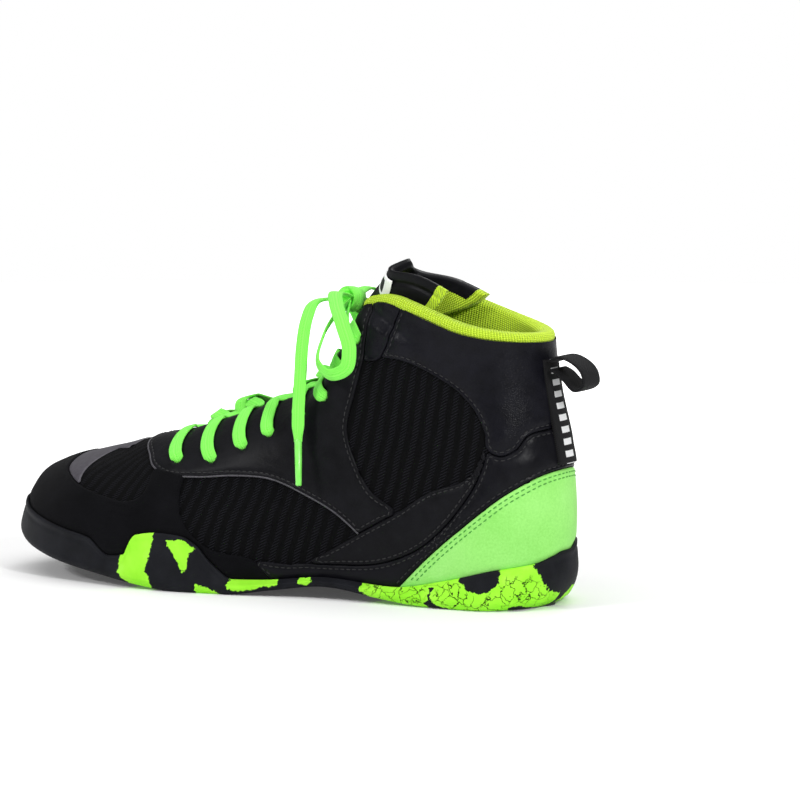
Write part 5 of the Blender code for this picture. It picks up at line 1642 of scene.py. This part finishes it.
def painted(points):
    """Distance inside the nearest green patch, below nought outside."""
    flat = points.reshape(-1, 3)
    green = np.full(len(flat), -0.02)
    for patch in GREEN:
        green = np.maximum(green, inside_distance(np.array(patch), flat[:, (0, 2)]))
    for patch in BLACK_IN_GREEN:
        green = np.minimum(green, -inside_distance(np.array(patch), flat[:, (0, 2)]))
    back = inside_distance(np.array(GREEN_BACK), flat[:, 1:])
    green = np.where((flat[:, 0] < 0.014) & (flat[:, 1] < 0.004), back, green)
    return np.clip(green, -0.006, 0.006).reshape(points.shape[:2])


# Materials

def linear(code):
    """An sRGB hex colour as linear values."""
    parts = [int(code[i:i + 2], 16) / 255 for i in (1, 3, 5)]
    return [c / 12.92 if c <= 0.04045 else ((c + 0.055) / 1.055) ** 2.4 for c in parts] + [1.0]


def node(tree, kind, links=(), **settings):
    """Adds a node. links joins its inputs to other nodes' outputs or sets their values;
    settings are its own properties."""
    made = tree.nodes.new("ShaderNode" + kind)
    for key, value in settings.items():
        setattr(made, key, value)
    for key, value in dict(links).items():
        if isinstance(value, bpy.types.NodeSocket):
            tree.links.new(value, made.inputs[key])
        else:
            made.inputs[key].default_value = value
    return made


def ramp(tree, value, stops):
    """A colour ramp: stops are places and colours, as hex or a grey value."""
    made = node(tree, "ValToRGB", {0: value})
    elements = made.color_ramp.elements
    while len(elements) < len(stops):
        elements.new(0.5)
    for element, (place, colour) in zip(elements, stops):
        element.position = place
        element.color = linear(colour) if isinstance(colour, str) else (colour, colour, colour, 1)
    return made.outputs[0]


def finish_for(name, colour, roughness, **sockets):
    """A new material with its shader's plain values set on the shader itself."""
    made = bpy.data.materials.new(name)
    made.use_nodes = True
    tree = made.node_tree
    shader = tree.nodes["Principled BSDF"]
    shader.inputs["Base Color"].default_value = linear(colour)
    shader.inputs["Roughness"].default_value = roughness
    for key, value in sockets.items():
        shader.inputs[key.replace("_", " ")].default_value = value
    return made, tree, shader


def millimetres(tree, kind="Object"):
    """Places in millimetres, on the piece itself or on its flat unrolled surface."""
    if kind == "Object":
        source = node(tree, "TexCoord").outputs["Object"]
    else:
        source = node(tree, "UVMap", uv_map="flat").outputs[0]
    return node(tree, "VectorMath", {0: source, 1: (1000, 1000, 1000)}, operation="MULTIPLY").outputs[0]


def bumped(tree, shader, height, distance, strength=1.0, below=None):
    """Puts a height, in metres when it is one, into the shader's normal."""
    links = {"Height": height, "Distance": distance, "Strength": strength}
    if below is not None:
        links["Normal"] = below
    made = node(tree, "Bump", links)
    tree.links.new(made.outputs[0], shader.inputs["Normal"])
    return made.outputs[0]


def calc(tree, operation, a, b=0.0, c=0.0, clamp=False):
    made = node(tree, "Math", {0: a, 1: b, 2: c}, operation=operation)
    made.use_clamp = clamp
    return made.outputs[0]


def faded(tree, value, start, end, least=0.0, most=1.0):
    """least where the value is at start, most where it is at end, and even between."""
    return node(tree, "MapRange", {0: value, 1: start, 2: end, 3: least, 4: most}).outputs[0]


def leather(name, colour, light, roughness, grain, depth, coat):
    """Coated synthetic leather, embossed: pebbled grain of small cells with fine creases,
    a satin film that shines where the grain is pressed flat."""
    made, tree, shader = finish_for(
        name, colour, roughness, Specular_IOR_Level=0.08, Coat_Weight=coat, Coat_Roughness=0.26,
    )
    place = millimetres(tree)
    cells = node(
        tree, "TexVoronoi", {"Vector": place, "Scale": 1 / grain, "Randomness": 1.0},
        feature="DISTANCE_TO_EDGE",
    )
    pebbles = calc(tree, "MINIMUM", cells.outputs["Distance"], 0.22)
    fine = node(tree, "TexNoise", {"Vector": place, "Scale": 1.6, "Detail": 4.0, "Roughness": 0.6})
    folds = node(tree, "TexNoise", {"Vector": place, "Scale": 0.07, "Detail": 3.0, "Roughness": 0.55})
    height = calc(tree, "MULTIPLY_ADD", fine.outputs[0], 0.25, pebbles)
    soft = bumped(tree, shader, folds.outputs[0], 0.0016, 0.5)
    bumped(tree, shader, height, depth, 0.8, soft)
    tone = node(tree, "TexNoise", {"Vector": place, "Scale": 0.12, "Detail": 5.0, "Roughness": 0.6})
    colours = ramp(tree, tone.outputs[0], ((0.35, colour), (0.72, light)))
    tree.links.new(colours, shader.inputs["Base Color"])
    rough = calc(tree, "MULTIPLY_ADD", tone.outputs[0], 0.30, roughness - 0.15)
    tree.links.new(rough, shader.inputs["Roughness"])
    return made


def suede():
    """Microfibre suede: short brushed nap, matt, with paler rub marks and a soft sheen."""
    made, tree, shader = finish_for(
        "suede_microfibre_black", "#0B0B0E", 0.95, Sheen_Weight=0.02, Sheen_Roughness=0.45,
        Specular_IOR_Level=0.07,
    )
    place = millimetres(tree)
    nap = node(tree, "TexNoise", {"Vector": place, "Scale": 3.2, "Detail": 5.0, "Roughness": 0.7})
    brushed = node(tree, "TexNoise", {"Vector": place, "Scale": 0.05, "Detail": 4.0, "Roughness": 0.6})
    colours = ramp(tree, brushed.outputs[0], ((0.30, "#070709"), (0.62, "#0D0D10"), (0.85, "#131317")))
    tree.links.new(colours, shader.inputs["Base Color"])
    bumped(tree, shader, nap.outputs[0], 0.00022, 0.7)
    return made


KNIT_ROW = 1.45
KNIT_COLUMN = 6.0
KNIT_YARN = 0.62


def knit():
    """Engineered knit of black polyester yarn: raised slanting floats in columns over an open ground,
    the ground painted darker and the floats paler as painted shade of the relief. Floats stand
    1.45 mm apart and columns 6 mm."""
    made, tree, shader = finish_for("knit_polyester_black", "#111114", 0.70, Specular_IOR_Level=0.08)
    place = millimetres(tree, "UV")
    parts = node(tree, "SeparateXYZ", {0: place})
    u, v = parts.outputs[0], parts.outputs[1]
    wobble = node(tree, "TexNoise", {"Vector": place, "Scale": 0.10, "Detail": 2.0})
    u = calc(tree, "MULTIPLY_ADD", wobble.outputs[0], 2.4, u)
    lean = calc(tree, "MULTIPLY_ADD", v, 0.26, u)
    zigzag = calc(tree, "PINGPONG", lean, KNIT_COLUMN / 2)
    slant = calc(tree, "MULTIPLY_ADD", zigzag, 0.62, v)
    wave = calc(tree, "SINE", calc(tree, "MULTIPLY", slant, 2 * math.pi / KNIT_ROW))
    floats = calc(tree, "MULTIPLY_ADD", wave, 0.5, 0.5)
    columns = calc(tree, "SINE", calc(tree, "MULTIPLY", lean, 2 * math.pi / KNIT_COLUMN))
    raised = faded(tree, columns, -0.35, 0.35)
    relief = calc(tree, "MULTIPLY", floats, raised)
    yarn = calc(tree, "SINE", calc(tree, "MULTIPLY", u, 2 * math.pi / KNIT_YARN))
    cross = calc(tree, "SINE", calc(tree, "MULTIPLY", v, 2 * math.pi / KNIT_YARN))
    ground = calc(tree, "MULTIPLY", calc(tree, "MULTIPLY", yarn, cross), 0.16)
    height = calc(tree, "ADD", relief, ground)
    # painted shade: the colour follows the relief's height, darkest in the low ground and palest on the floats'
    # tops
    colours = ramp(tree, height, ((0.05, "#020203"), (0.35, "#08080B"), (0.85, "#18181D")))
    tree.links.new(colours, shader.inputs["Base Color"])
    bumped(tree, shader, height, 0.00055, 1.0)
    return made


def counter_leather():
    """Green microfibre leather of the heel counter: matt, a fine felt-like face with
    faint pressed flecks."""
    made, tree, shader = finish_for("microfibre_green", "#92DE6C", 0.58, Specular_IOR_Level=0.35)
    place = millimetres(tree)
    fleck = node(tree, "TexNoise", {"Vector": place, "Scale": 1.1, "Detail": 5.0, "Roughness": 0.65})
    cloud = node(tree, "TexNoise", {"Vector": place, "Scale": 0.05, "Detail": 3.0})
    mixed = calc(tree, "MULTIPLY_ADD", cloud.outputs[0], 0.5, calc(tree, "MULTIPLY", fleck.outputs[0], 0.5))
    colours = ramp(tree, mixed, ((0.36, "#84D45E"), (0.52, "#92DE6C"), (0.70, "#9FE67C")))
    tree.links.new(colours, shader.inputs["Base Color"])
    bumped(tree, shader, fleck.outputs[0], 0.00018, 0.6)
    return made


def rib_knit():
    """Elastic ribbed knit in lime: small loops along each rib, soft and matt."""
    made, tree, shader = finish_for("rib_knit_lime", "#BFE02C", 0.86, Sheen_Weight=0.15, Specular_IOR_Level=0.2)
    place = millimetres(tree, "UV")
    parts = node(tree, "SeparateXYZ", {0: place})
    rib = calc(tree, "SINE", calc(tree, "MULTIPLY", parts.outputs[0], 2 * math.pi / 1.25))
    loop = calc(tree, "SINE", calc(tree, "MULTIPLY", parts.outputs[1], 2 * math.pi / 0.9))
    height = calc(tree, "MULTIPLY_ADD", loop, 0.35, calc(tree, "MULTIPLY", rib, 0.5))
    # painted shade: the lime is darker between the ribs and loops and paler on their tops, by the relief's
    # height
    painted_relief_shade = calc(tree, "MULTIPLY_ADD", height, 0.5, 0.5)
    colours = ramp(tree, painted_relief_shade, ((0.10, "#8FB012"), (0.55, "#BFE02C"), (0.95, "#D2EE4A")))
    tree.links.new(colours, shader.inputs["Base Color"])
    bumped(tree, shader, height, 0.00030, 0.9)
    return made


def lace_weave():
    """Flat tubular lace of textured polyester in neon green: a herringbone of fine
    strands. The strands of 0.7 mm are coarser than the real ones so that they show."""
    made, tree, shader = finish_for(
        "woven_polyester_neon", "#86FF56", 0.70, Sheen_Weight=0.12, Specular_IOR_Level=0.3,
    )
    place = millimetres(tree, "UV")
    parts = node(tree, "SeparateXYZ", {0: place})
    aside = calc(tree, "ABSOLUTE", parts.outputs[1])
    slant = calc(tree, "MULTIPLY_ADD", aside, 0.9, parts.outputs[0])
    wave = calc(tree, "SINE", calc(tree, "MULTIPLY", slant, 2 * math.pi / 0.7))
    cross = calc(tree, "SINE", calc(tree, "MULTIPLY", parts.outputs[1], 2 * math.pi / 0.8))
    height = calc(tree, "MULTIPLY_ADD", cross, 0.3, calc(tree, "MULTIPLY", wave, 0.5))
    # painted shade: the neon is darker in the weave's hollows and paler on the strands' tops, by the relief's
    # height
    painted_relief_shade = calc(tree, "MULTIPLY_ADD", height, 0.5, 0.5)
    colours = ramp(tree, painted_relief_shade, ((0.05, "#4FE82A"), (0.5, "#86FF56"), (1.0, "#A2FF78")))
    tree.links.new(colours, shader.inputs["Base Color"])
    bumped(tree, shader, height, 0.00018, 0.8)
    return made


def webbing(name, bars):
    """Polyester webbing: ribs across of 1 mm, woven over fine lengthwise ends. Where it
    has bars, plain pale blocks are woven in up its middle."""
    made, tree, shader = finish_for(name, "#0E0E10", 0.80, Specular_IOR_Level=0.2)
    place = millimetres(tree, "UV")
    parts = node(tree, "SeparateXYZ", {0: place})
    along, aside = (parts.outputs[1], parts.outputs[0]) if bars else (parts.outputs[0], parts.outputs[1])
    ribs = calc(tree, "SINE", calc(tree, "MULTIPLY", along, 2 * math.pi / 0.9))
    ends = calc(tree, "SINE", calc(tree, "MULTIPLY", aside, 2 * math.pi / 0.8))
    height = calc(tree, "MULTIPLY_ADD", calc(tree, "MULTIPLY", ribs, ends), 0.5, 0.5)
    # painted shade: in both kinds the colour follows the weave's height, darker in its hollows and paler on its
    # ribs; the pale bars are the webbing's own print
    if bars:
        inside = calc(tree, "LESS_THAN", calc(tree, "ABSOLUTE", aside), 3.6)
        stripe = calc(tree, "LESS_THAN", calc(tree, "PINGPONG", along, 2.6), 1.35)
        both = calc(tree, "MULTIPLY", inside, stripe)
        tone = calc(tree, "MULTIPLY_ADD", both, 0.6, calc(tree, "MULTIPLY", height, 0.35))
        colours = ramp(tree, tone, ((0.0, "#060607"), (0.34, "#151517"), (0.60, "#C9CBCC"), (0.95, "#F2F2F2")))
    else:
        colours = ramp(tree, height, ((0.2, "#070708"), (0.9, "#18181B")))
    tree.links.new(colours, shader.inputs["Base Color"])
    bumped(tree, shader, height, 0.00022, 0.9)
    return made


# Where the cracks fade out towards the arch and towards the rim, in mm
CRACKS_BEHIND, CRACKS_BELOW = (-48.0, -58.0), (17.0, 13.0)


def rubber():
    """Moulded carbon-filled and green rubber, marbled in the press: ragged green patches
    in black, both cracked by a fine net of cut grooves low on the wall, the grooves coloured a deep dark green
    as painted shade."""
    made, tree, shader = finish_for("moulded_rubber_marbled", "#15161A", 0.60, Specular_IOR_Level=0.10)
    place = millimetres(tree)
    ragged = node(tree, "TexNoise", {"Vector": place, "Scale": 0.55, "Detail": 5.0, "Roughness": 0.62})
    inside = node(tree, "Attribute", attribute_name="green").outputs["Fac"]
    shifted = calc(tree, "MULTIPLY_ADD", calc(tree, "SUBTRACT", ragged.outputs[0], 0.5), 0.0036, inside)
    mask = faded(tree, shifted, -0.00012, 0.00012)
    warped = node(tree, "TexNoise", {"Vector": place, "Scale": 0.22, "Detail": 3.0, "Roughness": 0.6})
    moved = node(
        tree, "VectorMath", {0: warped.outputs["Color"], 1: (7.0, 7.0, 7.0), 2: place},
        operation="MULTIPLY_ADD",
    )
    cells = node(tree, "TexVoronoi", {"Vector": moved.outputs[0], "Scale": 0.19}, feature="DISTANCE_TO_EDGE")
    crack = faded(tree, cells.outputs["Distance"], 0.010, 0.034)
    parts = node(tree, "SeparateXYZ", {0: place})
    deep = faded(tree, inside, 0.0005, 0.0028)
    rearward = faded(tree, parts.outputs[0], *CRACKS_BEHIND)
    low = faded(tree, parts.outputs[2], *CRACKS_BELOW)
    where = calc(tree, "MULTIPLY", calc(tree, "MULTIPLY", rearward, deep), low)
    cracked = calc(tree, "MULTIPLY", calc(tree, "SUBTRACT", 1.0, crack), where)
    cloud = node(tree, "TexNoise", {"Vector": place, "Scale": 0.09, "Detail": 4.0})
    green = ramp(tree, cloud.outputs[0], ((0.3, "#8EE62C"), (0.6, "#A0F03C"), (0.8, "#ACF550")))
    black = ramp(tree, cloud.outputs[0], ((0.3, "#101115"), (0.7, "#1B1C21")))
    worn = node(tree, "Mix", {"Factor": mask, "A": black, "B": green}, data_type="RGBA")
    # painted shade: the crack grooves are mixed to a deep dark green, standing in for the shade in them
    dark = node(
        tree, "Mix", {"Factor": cracked, "A": worn.outputs["Result"], "B": linear("#20330A")},
        data_type="RGBA",
    )
    tree.links.new(dark.outputs["Result"], shader.inputs["Base Color"])
    grit = node(tree, "TexNoise", {"Vector": place, "Scale": 1.4, "Detail": 5.0, "Roughness": 0.65})
    fine = bumped(tree, shader, grit.outputs[0], 0.00025, 0.5)
    bumped(tree, shader, calc(tree, "SUBTRACT", 1.0, cracked), 0.0008, 0.9, fine)
    return made


def plain_cloth(name, colour, light, roughness):
    """Thin woven polyester with threads of 0.5 mm, drawn twice as coarse as the real
    ones so that they show."""
    made, tree, shader = finish_for(name, colour, roughness, Specular_IOR_Level=0.3)
    place = millimetres(tree, "UV")
    parts = node(tree, "SeparateXYZ", {0: place})
    warp = calc(tree, "SINE", calc(tree, "MULTIPLY", parts.outputs[0], 2 * math.pi / 0.5))
    weft = calc(tree, "SINE", calc(tree, "MULTIPLY", parts.outputs[1], 2 * math.pi / 0.5))
    height = calc(tree, "MULTIPLY_ADD", calc(tree, "MULTIPLY", warp, weft), 0.5, 0.5)
    # painted shade: the colour follows the weave's height, darker where the threads dip and paler where they
    # cross over
    tree.links.new(ramp(tree, height, ((0.1, colour), (0.9, light))), shader.inputs["Base Color"])
    bumped(tree, shader, height, 0.00012, 0.8)
    return made


def speckled(name, colour, light, roughness, scale, **sockets):
    """A plain dyed or moulded surface with a fine uneven tone."""
    made, tree, shader = finish_for(name, colour, roughness, **sockets)
    place = millimetres(tree)
    tone = node(tree, "TexNoise", {"Vector": place, "Scale": scale, "Detail": 4.0})
    tree.links.new(ramp(tree, tone.outputs[0], ((0.35, colour), (0.7, light))), shader.inputs["Base Color"])
    bumped(tree, shader, tone.outputs[0], 0.0001, 0.5)
    return made


def woven_patch():
    """Damask label: black centre, pale woven border, fine threads."""
    made, tree, shader = finish_for("woven_patch", "#101012", 0.75)
    flat = node(tree, "UVMap", uv_map="flat").outputs[0]
    parts = node(tree, "SeparateXYZ", {0: flat})
    a = calc(tree, "ABSOLUTE", parts.outputs[0])
    b = calc(tree, "ABSOLUTE", parts.outputs[1])
    frame_a = calc(tree, "GREATER_THAN", a, 0.80)
    frame_b = calc(tree, "GREATER_THAN", b, 0.62)
    border = calc(tree, "MAXIMUM", frame_a, frame_b)
    place = millimetres(tree)
    thread = node(tree, "TexNoise", {"Vector": place, "Scale": 2.4, "Detail": 3.0})
    tone = calc(tree, "MULTIPLY_ADD", thread.outputs[0], 0.25, calc(tree, "MULTIPLY", border, 0.7))
    threads = ramp(tree, tone, ((0.1, "#0B0B0D"), (0.35, "#17171A"), (0.6, "#D9DBDC"), (0.9, "#F4F4F4")))
    tree.links.new(threads, shader.inputs["Base Color"])
    bumped(tree, shader, thread.outputs[0], 0.00015, 0.6)
    return made


MATERIALS = {
    "knit": knit(),
    "suede": suede(),
    "stay_leather": leather("synthetic_leather_satin", "#0B0B0E", "#121216", 0.42, 0.9, 0.00012, 0.02),
    "collar_leather": leather("synthetic_leather_glossy", "#0B0B10", "#121219", 0.33, 1.0, 0.00025, 0.05),
    "heel_leather": leather("synthetic_leather_smooth", "#0C0C10", "#121217", 0.38, 1.3, 0.00008, 0.03),
    "counter": counter_leather(),
    "rib_knit": rib_knit(),
    "lace": lace_weave(),
    "aglet": speckled(
        "clear_tipped_plastic", "#7BEA58", "#8CF06C", 0.22, 0.3, Coat_Weight=0.6, Coat_Roughness=0.1,
    ),
    "webbing": webbing("webbing_polyester", False),
    "webbing_bars": webbing("webbing_barred", True),
    "rubber": rubber(),
    "dark_lining": plain_cloth("lining_cloth_black", "#0B0B0D", "#17171A", 0.85),
    "grey": speckled("coated_cloth_grey", "#3A373E", "#48454D", 0.42, 0.6),
    "piping": speckled("piping_grey", "#323136", "#454349", 0.45, 0.8),
    "thread": speckled("polyester_thread_black", "#0A0A0C", "#1A1A1D", 0.60, 2.0),
    "green_thread": speckled("polyester_thread_green", "#3F8F2E", "#4FA53A", 0.60, 2.0),
    "patch": woven_patch(),
}


# Camera, floor and lights

VIEW_TURN, VIEW_RISE, VIEW_DISTANCE = math.radians(28), math.radians(6.5), 2.0
FOCUS_PIXELS, FRAME_PIXELS, SENSOR = 4410.0, 800.0, 36.0
AIM = np.array([0.130, 0.0, 0.060])
AIM_PIXEL = (314.9, 454.3)


def make_camera():
    """The camera at the photograph's angle, aimed past the shoe as the photograph is."""
    turn, rise = VIEW_TURN, VIEW_RISE
    right = np.array([-math.cos(turn), -math.sin(turn), 0.0])
    back = np.array([-math.sin(turn) * math.cos(rise), math.cos(turn) * math.cos(rise), math.sin(rise)])
    up = np.cross(back, right)
    per_metre = FOCUS_PIXELS / VIEW_DISTANCE
    middle = FRAME_PIXELS / 2
    aim = AIM + right * (middle - AIM_PIXEL[0]) / per_metre - up * (middle - AIM_PIXEL[1]) / per_metre
    data = bpy.data.cameras.new("camera")
    data.lens = FOCUS_PIXELS / FRAME_PIXELS * SENSOR
    data.sensor_width = SENSOR
    camera = bpy.data.objects.new("camera", data)
    bpy.context.collection.objects.link(camera)
    place = aim + back * VIEW_DISTANCE + SHIFT
    camera.matrix_world = Matrix([
        [right[0], up[0], back[0], place[0]],
        [right[1], up[1], back[1], place[1]],
        [right[2], up[2], back[2], place[2]],
        [0, 0, 0, 1],
    ])
    bpy.context.scene.camera = camera
    bpy.context.scene.view_settings.view_transform = "Standard"


FLOOR_RADIUS = 1.6
# The floor's own light: where it starts and is full, in mm from the middle, and how strong
GLOW_REACH, GLOW_LEAST, GLOW_MOST = (250.0, 800.0), 0.06, 0.8


def make_stage():
    """A round floor of white board, lit from within further out so that it runs into
    the white surround without an edge."""
    radius, turn = np.array([0.0, 0.5, 1.0, FLOOR_RADIUS]), np.linspace(0, 2 * math.pi, 65)
    flat = [radius[:, None] * np.cos(turn), radius[:, None] * np.sin(turn), np.zeros((4, 65))]
    mesh = build_mesh("floor", np.stack(flat, 2).reshape(-1, 3) - SHIFT, grid_faces(4, 65), weld=1e-4)
    floor = bpy.data.objects.new("floor", mesh)
    bpy.context.collection.objects.link(floor)
    made, tree, shader = finish_for(
        "matt_board_white", "#F6F6F6", 0.9, Specular_IOR_Level=0.1, Emission_Color=(1, 1, 1, 1),
    )
    away = node(tree, "VectorMath", {0: millimetres(tree)}, operation="LENGTH").outputs["Value"]
    glow = faded(tree, away, *GLOW_REACH, GLOW_LEAST, GLOW_MOST)
    tree.links.new(glow, shader.inputs["Emission Strength"])
    mesh.materials.append(made)


def light(name, place, aim, size, power, colour=(1, 1, 1)):
    data = bpy.data.lights.new(name, "AREA")
    data.shape = "DISK"
    data.size = size
    data.energy = power
    data.color = colour
    lamp = bpy.data.objects.new(name, data)
    bpy.context.collection.objects.link(lamp)
    lamp.location = place
    lamp.rotation_euler = (Vector(aim) - Vector(place)).to_track_quat("-Z", "Y").to_euler()


# How bright the white surround is as a light, where it is seen as plain white
SURROUND = 0.30


def make_lights():
    """Soft studio light: a big box overhead, one each side of the camera, one behind,
    and a white surround."""
    world = bpy.data.worlds.new("studio")
    bpy.context.scene.world = world
    world.use_nodes = True
    tree = world.node_tree
    seen = node(tree, "LightPath").outputs["Is Camera Ray"]
    strength = calc(tree, "MULTIPLY_ADD", seen, 1.0 - SURROUND, SURROUND)
    tree.links.new(strength, tree.nodes["Background"].inputs[1])
    tree.nodes["Background"].inputs[0].default_value = (1, 1, 1, 1)
    light("overhead", (0.0, 0.0, 2.6), (0, 0, 0), 4.0, 48)
    light("left_box", (1.0, 1.5, 1.2), (0.05, 0, 0.06), 0.36, 13)
    light("right_box", (-1.5, 0.9, 1.0), (-0.1, 0, 0.06), 0.30, 18)
    light("rim_box", (0.2, -1.7, 1.3), (0, 0, 0.08), 0.8, 8)


# Making

make_camera()
make_stage()
make_lights()
make_bow()
make_knot()
make_strands()
LATTICE = make_lattice()
make_base(LATTICE)
LAYERS = (
    ("guard_suede", "toe_guard", "suede", 0.0010, 0.0000, 0.0, 0.0, 0, ("toe_guard",)),
    ("toe_inset", "toe_patch", "grey", 0.0005, 0.0000, 0.0, 0.0, 0, ("toe_patch",)),
    ("band_outer", "band", "stay_leather", 0.0010, 0.0002, 0.00025, 0.0, 1, ("band_lateral",)),
    ("band_inner", "band", "stay_leather", 0.0010, 0.0002, 0.00025, 0.0, -1, ("band_medial",)),
    ("collar_panel", "ankle_panel", "collar_leather", 0.0010, 0.0010, 0.00035, 0.0, 0, ("ankle_panel",)),
    ("collar_facing", "facing", "collar_leather", 0.0010, 0.0006, 0.00020, 0.0, 0, ()),
    ("heel_quarter", "heel_panel", "heel_leather", 0.0010, 0.0003, 0.00030, 0.0, 0, ("heel_panel",)),
    ("heel_counter", "counter", "counter", 0.0010, 0.0001, 0.00015, 0.00015, 0, ("counter",)),
)
for name, outline, material, thick, puff, groove, second, side, replaced in LAYERS:
    overlay(
        LATTICE, name, outline, material, thick, puff, groove, second,
        side=side, replaces=replaced,
    )
overlay(
    LATTICE, "stay", "eyestay", "stay_leather", 0.0010, 0.0, 0.00025,
    holes=True, replaces=("eyestay",),
)
make_throat_edge()
make_piping()
make_pinholes()
for name, outline, lift, side in (
    ("stitches_band_outer", "band", 0.00105, 1),
    ("stitches_band_inner", "band", 0.00105, -1),
    ("stitches_collar", "ankle_panel", 0.00095, 0),
    ("stitches_heel", "heel_panel", 0.00095, 0),
    ("stitches_stay", "eyestay", 0.00105, 0),
):
    stitch_rows(LATTICE, name, outline, lift, (STITCH_INSET,), "thread", side)
stitch_rows(
    LATTICE, "stitches_counter", "counter", 0.00115, (STITCH_INSET, STITCH_INSET + STITCH_ROWS_APART),
    "green_thread",
)
make_cuff()
make_tongue()
make_label()
make_insole()
make_foot_lining()
make_heel_strap()
make_pull_loop()
make_sole()
